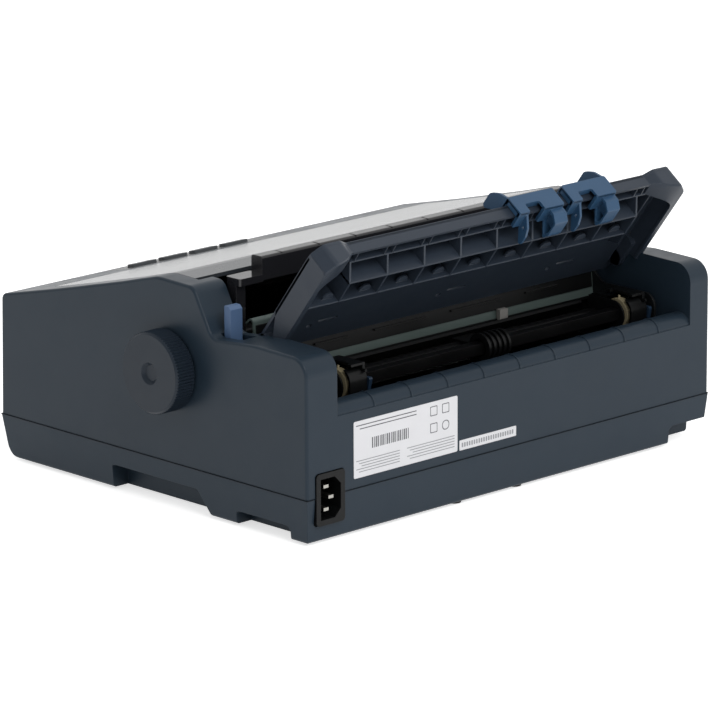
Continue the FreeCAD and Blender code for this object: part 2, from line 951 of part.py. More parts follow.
def band_walls():
    """Inner walls of the two bands beside the rear opening, and their short front returns."""
    full = case_block(seam_height, 0, -half_width + case_wall, half_width - case_wall)
    walls = []
    for low, high in ((well_right, well_right + band_wall), (well_left - band_wall, well_left)):
        walls.append(full.common(block(low, high, well_front, rear_y, band_wall_bottom, case_height)))
    return_bottom = platen_z + gear_radius(platen_gear_teeth) + gear_module * 2
    for low, high in ((well_right, cover_right + case_wall), (-cover_right - case_wall, well_left)):
        walls.append(full.common(block(low, high, well_front, well_front + band_wall,
                                       return_bottom, case_height)))
    return walls


def cover_rim():
    """Walls and ledges along both sides of the cover's opening."""
    full = case_block(cover_floor(), 0, -half_width + case_wall, half_width - case_wall)
    hollow = case_block(0, rim_wall_depth, -half_width, half_width)
    ledge_top = case_block(cover_floor(), cover_sheet + fit_gap, -half_width + case_wall,
                           half_width - case_wall)
    ledge_under = case_block(0, cover_sheet + fit_gap + ledge_sheet, -half_width, half_width)
    rims = []
    for side in (1, -1):
        ends = sorted((side * cover_right, side * (cover_right + case_wall)))
        wall = full.common(block(ends[0], ends[1], cover_front, well_front, cover_floor(), case_height))
        rims.append(wall.cut(hollow))
        ends = sorted((side * (cover_right - ledge_width), side * (cover_right + case_wall)))
        ledge_end = cover_hinge_y - cover_ear_radius * 2
        ledge = ledge_top.common(block(ends[0], ends[1], cover_front, ledge_end, cover_floor(), case_height))
        rims.append(ledge.cut(ledge_under))
    front_ledge = ledge_top.common(block(-cover_right, cover_right, cover_front - case_wall,
                                         cover_front + ledge_width, cover_floor(), case_height))
    rims.append(front_ledge.cut(ledge_under))
    return rims


def lip_path():
    outer_y = rear_y - lip_step - case_wall / 2
    top_z = lip_height - case_wall / 2
    return [
        (outer_y, lip_seam_height - lip_drop, 0),
        (outer_y, top_z, lip_rounding),
        (rear_y - lip_flat, top_z, lip_bend),
        (rear_y - lip_depth, top_z - lip_drop, 0),
    ]


def rear_lip():
    lip = prism(strip(lip_path(), case_wall), "x", well_left - band_wall / 2, well_right + band_wall / 2)
    raised = prism(strip(lip_path(), case_wall + lip_rib_rise * 2), "x", 0, lip_rib_width)
    keep = block(0, lip_rib_width, rear_y - lip_depth, rear_y - lip_step + lip_rib_rise,
                 lip_seam_height, case_height)
    rib = raised.common(keep)
    ribs = []
    for x in paper_rib_places:
        copy = rib.copy()
        copy.translate(point(x - lip_rib_width / 2, 0, 0))
        ribs.append(copy)
    return join([lip] + ribs)


def port_opening():
    return block(-half_width - overrun, -half_width + case_wall + overrun, port_window_front,
                 port_window_rear, port_window_bottom, port_window_top)


def release_slot():
    return block(release_tab_inner_x - release_slot_margin, release_tab_outer_x + release_slot_margin,
                 release_slot_front_y, release_slot_rear_y, top_height(release_slot_front_y) - case_wall * 4,
                 case_height)


def slope_frame():
    """Start, way along and way out of the sloping front part of the top."""
    (y0, z0, _), (y1, z1, _) = top_outline[0], top_outline[1]
    along = point(0, y1 - y0, z1 - z0).normalize()
    return point(0, y0, z0), along, point(0, -along.z, along.y)


def slope_prism(corners, low, high):
    """Solid on the sloping front: corners are (x, along, rounding), low and high stand off it."""
    start, along, out = slope_frame()
    wire = rounded_wire(corners, lambda flat: start + point(flat.x, 0, 0) + along * flat.y + out * low)
    solid = Part.Face(wire).extrude(out * (high - low))
    if solid.Volume < 0:
        solid.reverse()
    return solid


def panel_corners(grow, rounding):
    return alike(((panel_left_x - grow, panel_start + grow * -1), (panel_right_x + grow, panel_start - grow),
                  (panel_right_x + grow, panel_start + panel_length + grow),
                  (panel_left_x - grow, panel_start + panel_length + grow)), rounding)


def panel_opening():
    recess = slope_prism(panel_corners(fit_gap, panel_rounding), -panel_recess, overrun)
    through = slope_prism(panel_corners(-case_wall, panel_rounding), -case_wall * 2, overrun)
    return recess.fuse(through)


def button_places():
    return [first_button_x - button_pitch * index for index in range(button_count)]


def button_corners(x, grow):
    half = button_width / 2 + grow
    low = button_along - button_length / 2 - grow
    high = button_along + button_length / 2 + grow
    return alike(((x - half, low), (x + half, low), (x + half, high), (x - half, high)),
                 button_rounding + grow)


def control_panel():
    plate = slope_prism(panel_corners(0, panel_rounding), -panel_recess, 0)
    holes = [slope_prism(button_corners(x, fit_gap), -panel_sheet, overrun) for x in button_places()]
    for x in button_places():
        holes.append(light_disc(x, running_gap, -panel_sheet, overrun))
    return plate.cut(Part.makeCompound(holes))


def light_disc(x, grow, low, high):
    start, along, out = slope_frame()
    base = start + point(x + light_offset - button_width / 2 - case_wall, 0, 0)
    base = base + along * (button_along - light_offset / 2) + out * low
    return Part.makeCylinder(light_radius + grow, high - low, base, out)


def push_button(index):
    x = button_places()[index]
    cap = slope_prism(button_corners(x, 0), -button_stem_depth, button_rise)
    flange_top = -panel_recess - fit_gap
    flange = slope_prism(button_corners(x, button_flange), flange_top - button_flange_sheet, flange_top)
    return join([cap, flange])


def button_board():
    """Board behind the panel, with its standoffs and the light beside each button."""
    depth = button_stem_depth + button_travel + fit_gap
    margin = switch_board_margin
    low = button_along - button_length / 2 - margin
    high = button_along + button_length / 2 + margin
    corners = sharp(((panel_left_x + margin, low), (panel_right_x - margin, low),
                     (panel_right_x - margin, high), (panel_left_x + margin, high)))
    board = slope_prism(corners, -depth - switch_board_sheet, -depth)
    pegs = []
    start, along, out = slope_frame()
    for x in (panel_left_x + margin + board_post_radius, panel_right_x - margin - board_post_radius):
        base = start + point(x, 0, 0) + along * (low + board_post_radius) + out * (-depth)
        pegs.append(Part.makeCylinder(board_post_radius, depth - panel_recess, base, out))
    lights = [light_disc(x, 0, -depth, 0) for x in button_places()]
    return join([board] + pegs + lights)


def printer_cover():
    gap = fit_gap
    sheet_block = case_block(cover_floor(), 0, -cover_right + gap, cover_right - gap)
    under = case_block(0, cover_sheet, -half_width, half_width)
    span = block(-half_width, half_width, cover_front + gap, cover_rear, cover_floor(), case_height + overrun)
    top = sheet_block.cut(under).common(span)
    pieces = [top]
    rib_under = case_block(0, cover_sheet + cover_rib_drop, -half_width, half_width)
    inset = cover_ear_inset
    for index in range(cover_rib_count):
        share = index / (cover_rib_count - 1)
        x = (-cover_right + inset) + (cover_right * 2 - inset * 2) * share
        rib_span = block(x - cover_rib_width / 2, x + cover_rib_width / 2, cover_front + ledge_width * 2,
                         cover_hinge_y - cover_ear_radius, cover_floor(), case_height)
        pieces.append(sheet_block.cut(rib_under).common(rib_span))
    cross_span = block(-cover_right + inset, cover_right - inset, cover_front + ledge_width * 2,
                       cover_front + ledge_width * 2 + cover_rib_width, cover_floor(), case_height)
    pieces.append(sheet_block.cut(rib_under).common(cross_span))
    for side in (1, -1):
        outer_x = side * (cover_right - gap)
        inner_x = side * (cover_right - gap - cover_ear_width)
        low, high = sorted((inner_x, outer_x))
        ear = cylinder("x", cover_hinge_y, cover_hinge_z, low, high, cover_ear_radius)
        pieces.append(ear.common(sheet_block))
        low, high = sorted((inner_x, side * (cover_right + cover_pin_length - case_wall)))
        pieces.append(cylinder("x", cover_hinge_y, cover_hinge_z, low, high, cover_pin_radius))
    return join(pieces)


def rubber_feet():
    feet = []
    for side in (1, -1):
        for y in (front_y + front_foot_inset, rear_y - rear_foot_inset):
            feet.append(cylinder("z", side * (half_width - foot_inset_x), y, 0, foot_height, foot_radius))
        feet.append(cylinder("z", small_foot_middle + side * small_foot_spread, rear_y - small_foot_inset, 0,
                             foot_height, small_foot_radius))
    return Part.makeCompound(feet)


def case_screws():
    screws = []
    for x, y, lift in post_places():
        head_z = floor_top + lift
        head = cylinder("z", x, y, head_z, head_z + screw_head_height, screw_head_radius)
        shank = cylinder("z", x, y, head_z, head_z + screw_length, screw_radius)
        screws.append(join([head, shank]))
    return Part.makeCompound(screws)


def base_shield():
    plate = block(frame_left - frame_sheet, frame_right + frame_sheet, frame_front, frame_rear,
                  floor_top, floor_top + sheet)
    plate = plate.cut(Part.makeCompound(vents()))
    posts = []
    for left, right in ((main_board_left, main_board_right), (power_board_left, power_board_right)):
        for x in (left + board_post_inset, right - board_post_inset):
            for y in (board_front + board_post_inset, board_rear - board_post_inset):
                posts.append(cylinder("z", x, y, floor_top, floor_top + sheet + board_lift,
                                      board_post_radius))
    return join([plate, belt_tensioner()] + posts)


def side_frame(low):
    high = low + frame_sheet
    bottom = floor_top + sheet
    rounding = frame_corner_rounding
    outline = [
        (frame_front, bottom, 0),
        (frame_front, platen_z - platen_radius, rounding),
        (rod_y, frame_top - platen_radius / 2, rounding),
        (platen_y - platen_radius - frame_window_rounding, frame_top, rounding),
        (bar_rear_y, frame_top, rounding),
        (guide_shaft_y - guide_shaft_radius * 3, frame_rear_top, rounding),
        (frame_rear, frame_rear_top, rounding),
        (frame_rear, tractor_z - tractor_bottom_drop * 2, rounding),
        (board_rear - board_post_inset, bottom, 0),
    ]
    plate = prism(outline, "x", low, high)
    window_low = floor_top + sheet + board_lift * 2
    window_high = rod_z - rod_radius * 3
    window = prism(alike(((frame_front + rounding * 2, window_low), (board_rear - rounding * 4, window_low),
                          (board_rear - rounding * 4, window_high),
                          (frame_front + rounding * 2, window_high)),
                         frame_window_rounding), "x", low - overrun, high + overrun)
    middle = (low + high) / 2
    bush = cylinder("x", platen_y, platen_z, middle - bush_width / 2, middle + bush_width / 2, bush_radius)
    holes = [window]
    holes.append(cylinder("x", platen_y, platen_z, middle - bush_width, middle + bush_width,
                          platen_shaft_radius + running_gap))
    holes.append(cylinder("x", rod_y, rod_z, low - overrun, high + overrun, rod_radius + running_gap))
    holes.append(cylinder("x", tractor_y, tractor_z, low - overrun, high + overrun,
                          square_shaft_journal + running_gap))
    holes.append(cylinder("x", guide_shaft_y, guide_shaft_z, low - overrun, high + overrun,
                          guide_shaft_radius + running_gap))
    y, z = pinion_place()
    holes.append(cylinder("x", y, z, low - overrun, high + overrun, motor_shaft_radius + fit_gap))
    return join([plate, bush]).cut(Part.makeCompound(holes))


def right_side_frame():
    """Right frame with the two pins that the idler gears turn on."""
    pins = []
    for y, z in idler_places():
        pins.append(cylinder("x", y, z, frame_right, gear_inner_x + gear_width + fit_gap + sheet,
                             idler_pin_radius))
    return join([side_frame(frame_right)] + pins)


def left_side_frame():
    return side_frame(frame_left - frame_sheet)


def platen_shaft():
    left = frame_left - frame_sheet - bush_width
    return cylinder("x", platen_y, platen_z, left, knob_outer_x - shaft_end_wall, platen_shaft_radius)


def platen_roller():
    roller = cylinder("x", platen_y, platen_z, platen_left, platen_right, platen_radius)
    bore = cylinder("x", platen_y, platen_z, platen_left - overrun, platen_right + overrun,
                    platen_shaft_radius + running_gap)
    return roller.cut(bore)


def platen_knob():
    """Knurled rim with a rounded outer edge, a dished face and a hub that takes the shaft."""
    width = knob_outer_x - knob_inner_x
    rim = ring_points(knurl_count * 2, (knob_radius, knob_radius - knurl_depth))
    rim = [(platen_y + a, platen_z + b, 0) for a, b in rim]
    knurled = prism(rim, "x", knob_inner_x, knob_outer_x)
    profile = [
        (0, 0, 0),
        (0, knob_radius - knob_edge_rounding, 0),
        (knob_edge_rounding, knob_radius, 0),
        (width - knob_edge_rounding, knob_radius, 0),
        (width, knob_radius - knob_edge_rounding, 0),
        (width, knob_dimple_radius, 0),
        (width - knob_dimple_depth, knob_dimple_radius - knob_dimple_depth, 0),
        (width - knob_dimple_depth, 0, 0),
    ]
    wire = rounded_wire(profile, lambda flat: point(knob_inner_x + flat.x, platen_y + flat.y, platen_z))
    turned = Part.Face(wire).revolve(point(knob_inner_x, platen_y, platen_z), point(1, 0, 0), 360)
    if turned.Volume < 0:
        turned.reverse()
    knob = knurled.common(turned)
    hollow = cylinder("x", platen_y, platen_z, knob_inner_x - overrun, knob_outer_x - shaft_end_wall * 2,
                      knob_radius - shaft_end_wall)
    hub = cylinder("x", platen_y, platen_z, knob_inner_x - overrun * 2, knob_outer_x, knob_hub_radius)
    bore = cylinder("x", platen_y, platen_z, knob_inner_x - overrun, knob_outer_x - shaft_end_wall,
                    platen_shaft_radius + running_gap)
    return knob.cut(hollow.cut(hub)).cut(bore)


def gear_radius(teeth):
    return gear_module * teeth / 2


def meet(first, first_reach, second, second_reach):
    """Lower meeting point of two circles, as (y, z)."""
    gap_y = second[0] - first[0]
    gap_z = second[1] - first[1]
    distance = math.hypot(gap_y, gap_z)
    along = (distance ** 2 + first_reach ** 2 - second_reach ** 2) / (2 * distance)
    across = math.sqrt(first_reach ** 2 - along ** 2)
    return (first[0] + (gap_y * along - gap_z * across) / distance,
            first[1] + (gap_z * along + gap_y * across) / distance)


def idler_places():
    """Centres of the two idlers that link the platen gear to the tractor gear."""
    idler_reach = gear_radius(idler_gear_teeth)
    first_reach = gear_radius(platen_gear_teeth) + idler_reach
    first = turned_place((platen_y, platen_z), first_reach, math.radians(first_idler_angle))
    last_reach = gear_radius(tractor_gear_teeth) + idler_reach
    return first, meet((tractor_y, tractor_z), last_reach, first, idler_reach * 2)


def turned_place(centre, reach, angle):
    return (centre[0] + reach * math.cos(angle), centre[1] + reach * math.sin(angle))


def pinion_place():
    first, _ = idler_places()
    reach = gear_radius(idler_gear_teeth) + gear_radius(pinion_teeth)
    return turned_place(first, reach, math.radians(pinion_angle))


def meshed_phase(centre, teeth, phase, next_centre, next_teeth):
    """Angle of a tooth on the next gear, so that its teeth fall into this gear's gaps."""
    line = math.atan2(next_centre[1] - centre[1], next_centre[0] - centre[0])
    share = (phase - line) * teeth / (2 * math.pi) + 1 / 2
    return line + math.pi - share * 2 * math.pi / next_teeth


def gear_phases():
    """Tooth angle of each gear in turn: platen, two idlers, tractor, pinion."""
    first, second = idler_places()
    platen = (platen_y, platen_z)
    platen_phase = 0.0
    first_phase = meshed_phase(platen, platen_gear_teeth, platen_phase, first, idler_gear_teeth)
    second_phase = meshed_phase(first, idler_gear_teeth, first_phase, second, idler_gear_teeth)
    tractor_phase = meshed_phase(second, idler_gear_teeth, second_phase, (tractor_y, tractor_z),
                                 tractor_gear_teeth)
    pinion_phase = meshed_phase(first, idler_gear_teeth, first_phase, pinion_place(), pinion_teeth)
    return platen_phase, first_phase, second_phase, tractor_phase, pinion_phase


def gear(centre, teeth, phase, bore):
    """Spur gear with straight-flanked teeth and room between them for the next gear."""
    pitch_radius = gear_radius(teeth)
    pitch = math.pi * gear_module
    rows = (
        (pitch_radius - gear_module * dedendum_share, tooth_root_share),
        (pitch_radius, tooth_pitch_share),
        (pitch_radius + gear_module * addendum_share, tooth_tip_share),
    )
    corners = []
    for index in range(teeth):
        middle = phase + 2 * math.pi * index / teeth
        flank = [(radius, share * pitch / pitch_radius) for radius, share in rows]
        for radius, half_angle in flank:
            corners.append((radius, middle - half_angle))
        for radius, half_angle in flank[::-1]:
            corners.append((radius, middle + half_angle))
    outline = [(centre[0] + radius * math.cos(angle), centre[1] + radius * math.sin(angle), 0)
               for radius, angle in corners]
    blank = prism(outline, "x", gear_inner_x, gear_inner_x + gear_width)
    hole = cylinder("x", centre[0], centre[1], gear_inner_x - overrun, gear_inner_x + gear_width + overrun,
                    bore)
    return blank.cut(hole)


def platen_gear():
    return gear((platen_y, platen_z), platen_gear_teeth, gear_phases()[0], platen_shaft_radius + running_gap)


def idler_gear(index):
    return gear(idler_places()[index], idler_gear_teeth, gear_phases()[1 + index],
                idler_pin_radius + running_gap)


def tractor_gear():
    return gear((tractor_y, tractor_z), tractor_gear_teeth, gear_phases()[3],
                square_shaft_journal + running_gap)


def motor_pinion():
    y, z = pinion_place()
    pinion = gear((y, z), pinion_teeth, gear_phases()[4], motor_shaft_radius)
    shaft = cylinder("x", y, z, frame_right - fit_gap, gear_inner_x + gear_width, motor_shaft_radius)
    return join([pinion, shaft])


def feed_motor():
    y, z = pinion_place()
    right = frame_right
    body = cylinder("x", y, z, right - feed_motor_length, right, feed_motor_radius)
    nose = cylinder("x", y, z, right - feed_motor_length - sheet, right - feed_motor_length,
                    motor_collar_radius)
    ear_reach = feed_motor_radius + motor_collar_radius
    ears = block(right - sheet, right, y - ear_reach, y + ear_reach, z - motor_collar_radius,
                 z + motor_collar_radius)
    recess = cylinder("x", y, z, right - fit_gap * 2, right + overrun, motor_shaft_radius + fit_gap)
    return join([body, nose, ears]).cut(recess)


def tractor_drive_shaft():
    """Square shaft that turns the sprockets, with round journals in the frames and under its gear."""
    half = square_shaft_side / 2
    right_turn = gear_inner_x + gear_width + fit_gap
    left_turn = frame_left - frame_sheet - bush_width / 2
    square = block(frame_left + fit_gap, frame_right - fit_gap, tractor_y - half, tractor_y + half,
                   tractor_z - half, tractor_z + half)
    journal = cylinder("x", tractor_y, tractor_z, left_turn, right_turn, square_shaft_journal)
    return join([square, journal])


def tractor_guide_shaft():
    return cylinder("x", guide_shaft_y, guide_shaft_z, frame_left - frame_sheet - sheet,
                    frame_right + frame_sheet + sheet, guide_shaft_radius)


def tractor_body(x):
    """Tractor side plate and hood that carry the sprocket on the two shafts."""
    half = tractor_width / 2
    front = tractor_y - tractor_front_reach - guide_shaft_radius - lock_pin_radius * 2
    rear = tractor_y + tractor_rear_reach
    bottom = tractor_z - tractor_bottom_drop
    top = tractor_z + tractor_top_rise
    outline = alike(((front, bottom), (rear, bottom), (rear, top), (front, top)), tractor_rounding)
    body = prism(outline, "x", x - half, x + half)
    gap = fit_gap
    wheel_room = cylinder("x", tractor_y, tractor_z, x + half - sprocket_width - gap * 2, x + half + overrun,
                          sprocket_radius + sprocket_pin_rise + gap * 2)
    cuts = [wheel_room]
    cuts.append(cylinder("x", tractor_y, tractor_z, x - half - overrun, x + half,
                         square_shaft_side * math.sqrt(2) / 2 + gap))
    cuts.append(cylinder("x", guide_shaft_y, guide_shaft_z, x - half - overrun, x + half + overrun,
                         guide_shaft_radius + running_gap))
    pivot_y, pivot_z = flap_pivot()
    cuts.append(block(x - half - overrun, x - half + flap_pin_radius * 3, pivot_y, pivot_y + flap_length,
                      top - flap_pin_radius * 4, top + overrun))
    cuts.append(cylinder("y", x - half + flap_pin_radius * 1.5, top - flap_pin_radius * 1.5,
                         pivot_y - sprocket_width / 2, pivot_y + flap_length + sprocket_width / 2,
                         flap_pin_radius + running_gap))
    cuts.append(cylinder("x", lock_pivot_y, lock_pivot_z, x - half - overrun, x + half + overrun,
                         lock_pin_radius + running_gap))
    return body.cut(Part.makeCompound(cuts))


def flap_pivot():
    return tractor_y - flap_length / 2, tractor_z + tractor_top_rise


def tractor_flap(x):
    """Flap that closes over the pins, hinged along the tractor's left top edge."""
    half = tractor_width / 2
    start_y, top = flap_pivot()
    gap = fit_gap
    pivot_x = x - half + flap_pin_radius * 1.5
    pivot_z = top - flap_pin_radius * 1.5
    low_y = start_y + gap
    high_y = start_y + flap_length - gap
    low_z = top + sprocket_pin_rise
    leaf = block(x - half, x - half + flap_width, low_y, high_y, low_z, low_z + flap_sheet)
    slot_x = x + half - sprocket_width / 2 - gap
    slot = block(slot_x - flap_slot_width / 2, slot_x + half, low_y + flap_slot_width,
                 high_y - flap_slot_width,
                 low_z - overrun, low_z + flap_sheet + overrun)
    web = block(x - half, x - half + flap_pin_radius * 2, low_y, high_y, pivot_z, low_z + flap_sheet)
    pin = cylinder("y", pivot_x, pivot_z, start_y - sprocket_width / 2 + gap,
                   start_y + flap_length + sprocket_width / 2 - gap, flap_pin_radius)
    return join([leaf.cut(slot), web, pin])


def tractor_lock(x):
    """Lever on the tractor's left face that clamps it to the guide shaft."""
    half = tractor_width / 2
    outer = x - half - lock_lever_x_gap
    hub = cylinder("x", lock_pivot_y, lock_pivot_z, outer - lock_lever_sheet, outer,
                   lock_lever_width / 2 * 1.5)
    arm = prism(alike(((lock_pivot_y - lock_lever_width / 2, lock_pivot_z),
                       (lock_pivot_y + lock_lever_width / 2, lock_pivot_z),
                       (lock_pivot_y + lock_lever_width, lock_pivot_z + lock_lever_length),
                       (lock_pivot_y, lock_pivot_z + lock_lever_length)), lock_lever_width / 4),
                "x", outer - lock_lever_sheet, outer)
    pin = cylinder("x", lock_pivot_y, lock_pivot_z, outer - lock_lever_sheet,
                   x + half - sprocket_width - fit_gap * 4, lock_pin_radius)
    return join([hub, arm, pin])


def tractor_sprocket(x):
    """Wheel with the pins that carry the paper's holes."""
    half = tractor_width / 2
    right = x + half
    left = right - sprocket_width
    wheel = cylinder("x", tractor_y, tractor_z, left, right, sprocket_radius)
    middle = (left + right) / 2
    pins = []
    for index in range(sprocket_pin_count):
        angle = math.pi / 2 + 2 * math.pi * index / sprocket_pin_count
        way = point(0, math.cos(angle), math.sin(angle))
        base = point(middle, tractor_y, tractor_z) + way * (sprocket_radius - sprocket_pin_radius * 2)
        length = sprocket_pin_radius * 2 + sprocket_pin_rise
        pins.append(Part.makeCone(sprocket_pin_radius, sprocket_pin_radius / 2, length, base, way))
    side = square_shaft_side / 2 + sprocket_bore_gap
    bore = block(left - overrun, right + overrun, tractor_y - side, tractor_y + side, tractor_z - side,
                 tractor_z + side)
    return join([wheel] + pins).cut(bore)


def paper_support():
    """Ribbed support that holds the paper up between the tractors."""
    left = (frame_left + frame_right) / 2 - support_offset - support_width / 2
    core = cylinder("x", tractor_y, tractor_z, left, left + support_width, support_core_radius)
    pieces = [core]
    step = (support_width - support_rib_width) / (support_rib_count - 1)
    for index in range(support_rib_count):
        x = left + step * index
        pieces.append(cylinder("x", tractor_y, tractor_z, x, x + support_rib_width, support_radius))
    reach = guide_shaft_radius + sheet
    arm = block(left, left + support_width, guide_shaft_y - reach, tractor_y, guide_shaft_z - reach,
                guide_shaft_z + reach)
    pieces.append(arm)
    cuts = [
        cylinder("x", tractor_y, tractor_z, left - overrun, left + support_width + overrun, support_bore),
        cylinder("x", guide_shaft_y, guide_shaft_z, left - overrun, left + support_width + overrun,
                 guide_shaft_radius + running_gap),
    ]
    return join(pieces).cut(Part.makeCompound(cuts))


def platen_rear_plate():
    """Thin bent plate behind the platen that turns the paper down."""
    path = [
        (rear_plate_top_y - lip_rounding, rear_plate_top_z - lip_rounding, 0),
        (rear_plate_top_y, rear_plate_top_z - sheet / 2, rear_plate_rounding),
        (rear_plate_bottom_y, rear_plate_bottom_z, 0),
    ]
    right = frame_right - fit_gap
    left = frame_left + fit_gap
    return prism(strip(path, sheet), "x", left, right)


def paper_chute():
    """Curved floor that leads the paper from the tractors under the platen."""
    radius = platen_radius + chute_gap + chute_sheet / 2
    path = [(platen_y + chute_rear_reach, platen_z - chute_rear_drop, 0),
            (platen_y + chute_bend_reach, platen_z - chute_bend_drop, lip_rounding)]
    steps = 5
    for index in range(steps):
        share = index / (steps - 1)
        angle = math.radians(chute_rear_angle + (chute_front_angle - chute_rear_angle) * share)
        path.append((platen_y + radius * math.cos(angle), platen_z + radius * math.sin(angle),
                     chute_sheet if 0 < index < steps - 1 else chute_sheet * 0))
    left = platen_left + chute_inset
    right = platen_right - chute_inset
    floor = prism(strip(path, chute_sheet), "x", left, right)
    rib_bottom = platen_z - radius - chute_sheet * 3
    rib_top = platen_z - radius + chute_sheet / 4
    supports = []
    for low, high in ((left, left + chute_sheet), (right - chute_sheet, right)):
        supports.append(block(low, high, platen_y - chute_sheet, platen_y + platen_radius, rib_bottom,
                              rib_top))
    for low, high in ((frame_left, left + chute_sheet), (right - chute_sheet, frame_right)):
        supports.append(block(low, high, platen_y - chute_sheet, platen_y + chute_sheet, rib_bottom,
                              platen_z - radius))
    return join([floor] + supports)


def paper_sensor():
    x = frame_left + sensor_inset
    y = rear_plate_bottom_y + sheet / 2
    return block(x - sensor_width / 2, x + sensor_width / 2, y + fit_gap, y + sensor_depth,
                 rear_plate_bottom_z,
                 rear_plate_bottom_z + sensor_height)


def carriage_rod():
    left = frame_left - frame_sheet - thickness_lever_gap - thickness_lever_sheet - sheet
    return cylinder("x", rod_y, rod_z, left, frame_right + frame_sheet + sheet, rod_radius)


def carriage_rail():
    """Angle rail behind the carriage, from frame to frame."""
    path = [
        (rail_y, rail_bottom_z, 0),
        (rail_y, rail_top_z, sheet * 2),
        (rail_y + rail_flange, rail_top_z, 0),
    ]
    return prism(strip(path, frame_sheet), "x", frame_left, frame_right)


def print_carriage():
    bottom = rail_top_z + frame_sheet / 2 + fit_gap
    outline = alike(((carriage_front_y, bottom), (carriage_rear_y, bottom),
                     (carriage_rear_y, carriage_deck_z), (carriage_front_y, carriage_deck_z)),
                    carriage_rounding)
    half = carriage_width / 2
    body = prism(outline, "x", -half, half)
    lightening = block(-half + case_wall * 2, half - case_wall * 2, rod_y + rod_radius * 2,
                       carriage_rear_y - case_wall * 2, bottom - overrun, carriage_deck_z - case_wall)
    bore = cylinder("x", rod_y, rod_z, -half - overrun, half + overrun, rod_radius + running_gap)
    return body.cut(Part.makeCompound([lightening, bore]))


def print_head():
    """Finned head with the wire nose that faces the platen."""
    half = head_width / 2
    front = rod_y - head_front_reach
    rear = rod_y + head_rear_reach
    top = carriage_deck_z + head_height
    body = block(-half, half, front, rear, carriage_deck_z, top)
    cuts = []
    fin_pitch = (rear - front - head_fin_gap) / head_fin_count
    for index in range(head_fin_count):
        y = front + head_fin_gap + fin_pitch * index
        cuts.append(block(-half - overrun, half + overrun, y, y + head_fin_gap,
                          carriage_deck_z + head_fin_floor, top + overrun))
    nose = prism(sharp(((rear, platen_z - nose_root_half_height),
                        (nose_tip_y, platen_z - nose_tip_half_height),
                        (nose_tip_y, platen_z + nose_tip_half_height),
                        (rear, platen_z + nose_root_half_height))), "x", -nose_width / 2, nose_width / 2)
    return join([body.cut(Part.makeCompound(cuts)), nose])


def pulley(x):
    """Belt pulley with a flange above and below the belt."""
    low = belt_bottom_z - pulley_flange
    high = belt_bottom_z + belt_width + pulley_flange
    middle = cylinder("z", x, belt_y, low, high, pulley_radius - running_gap)
    flange_radius = pulley_radius + belt_thickness + pulley_flange_rise
    lower = cylinder("z", x, belt_y, low - pulley_flange, low - running_gap, flange_radius)
    upper = cylinder("z", x, belt_y, high + running_gap, high + pulley_flange, flange_radius)
    join_low = cylinder("z", x, belt_y, low - running_gap * 2, low, pulley_radius - running_gap)
    join_high = cylinder("z", x, belt_y, high, high + running_gap * 2, pulley_radius - running_gap)
    bore = cylinder("z", x, belt_y, low - overrun * 2, high + overrun * 2, pulley_bore + running_gap)
    return join([middle, lower, upper, join_low, join_high]).cut(bore)


def carriage_belt():
    """Endless belt round the two pulleys."""
    outer_radius = pulley_radius + belt_thickness
    loops = []
    for radius in (outer_radius, pulley_radius):
        ends = [cylinder("z", x, belt_y, belt_bottom_z, belt_bottom_z + belt_width, radius)
                for x in (belt_left_x, belt_right_x)]
        run = block(belt_left_x, belt_right_x, belt_y - radius, belt_y + radius, belt_bottom_z,
                    belt_bottom_z + belt_width)
        loops.append(join(ends + [run]))
    return loops[0].cut(loops[1])


def carriage_motor():
    bottom = floor_top + sheet + carriage_motor_lift
    top = belt_bottom_z - carriage_motor_drop
    body = cylinder("z", belt_left_x, belt_y, bottom, top, carriage_motor_radius)
    collar = cylinder("z", belt_left_x, belt_y, top, top + motor_collar_height, motor_collar_radius)
    shaft = cylinder("z", belt_left_x, belt_y, top, belt_bottom_z + belt_width, pulley_bore)
    foot = block(belt_left_x - carriage_motor_radius, belt_left_x + carriage_motor_radius,
                 belt_y - motor_collar_radius, belt_y + motor_collar_radius, floor_top + sheet,
                 bottom + sheet)
    return join([body, collar, shaft, foot])


def belt_tensioner():
    """Bracket from the shield up to the free pulley, with its pin."""
    x0 = belt_right_x - tensioner_width / 2
    x1 = belt_right_x + tensioner_width / 2
    y0 = belt_y - tensioner_depth / 2
    y1 = belt_y + tensioner_depth / 2
    height = belt_bottom_z - tensioner_drop
    top = block(x0, x1, y0, y1, height - frame_sheet, height)
    wall = block(x0, x0 + frame_sheet, y0, y1, floor_top + sheet, height)
    foot = block(x0, x1, y0, y1, floor_top + sheet, floor_top + sheet + frame_sheet)
    pin = cylinder("z", belt_right_x, belt_y, height, belt_bottom_z + belt_width, pulley_bore)
    return join([top, wall, foot, pin])


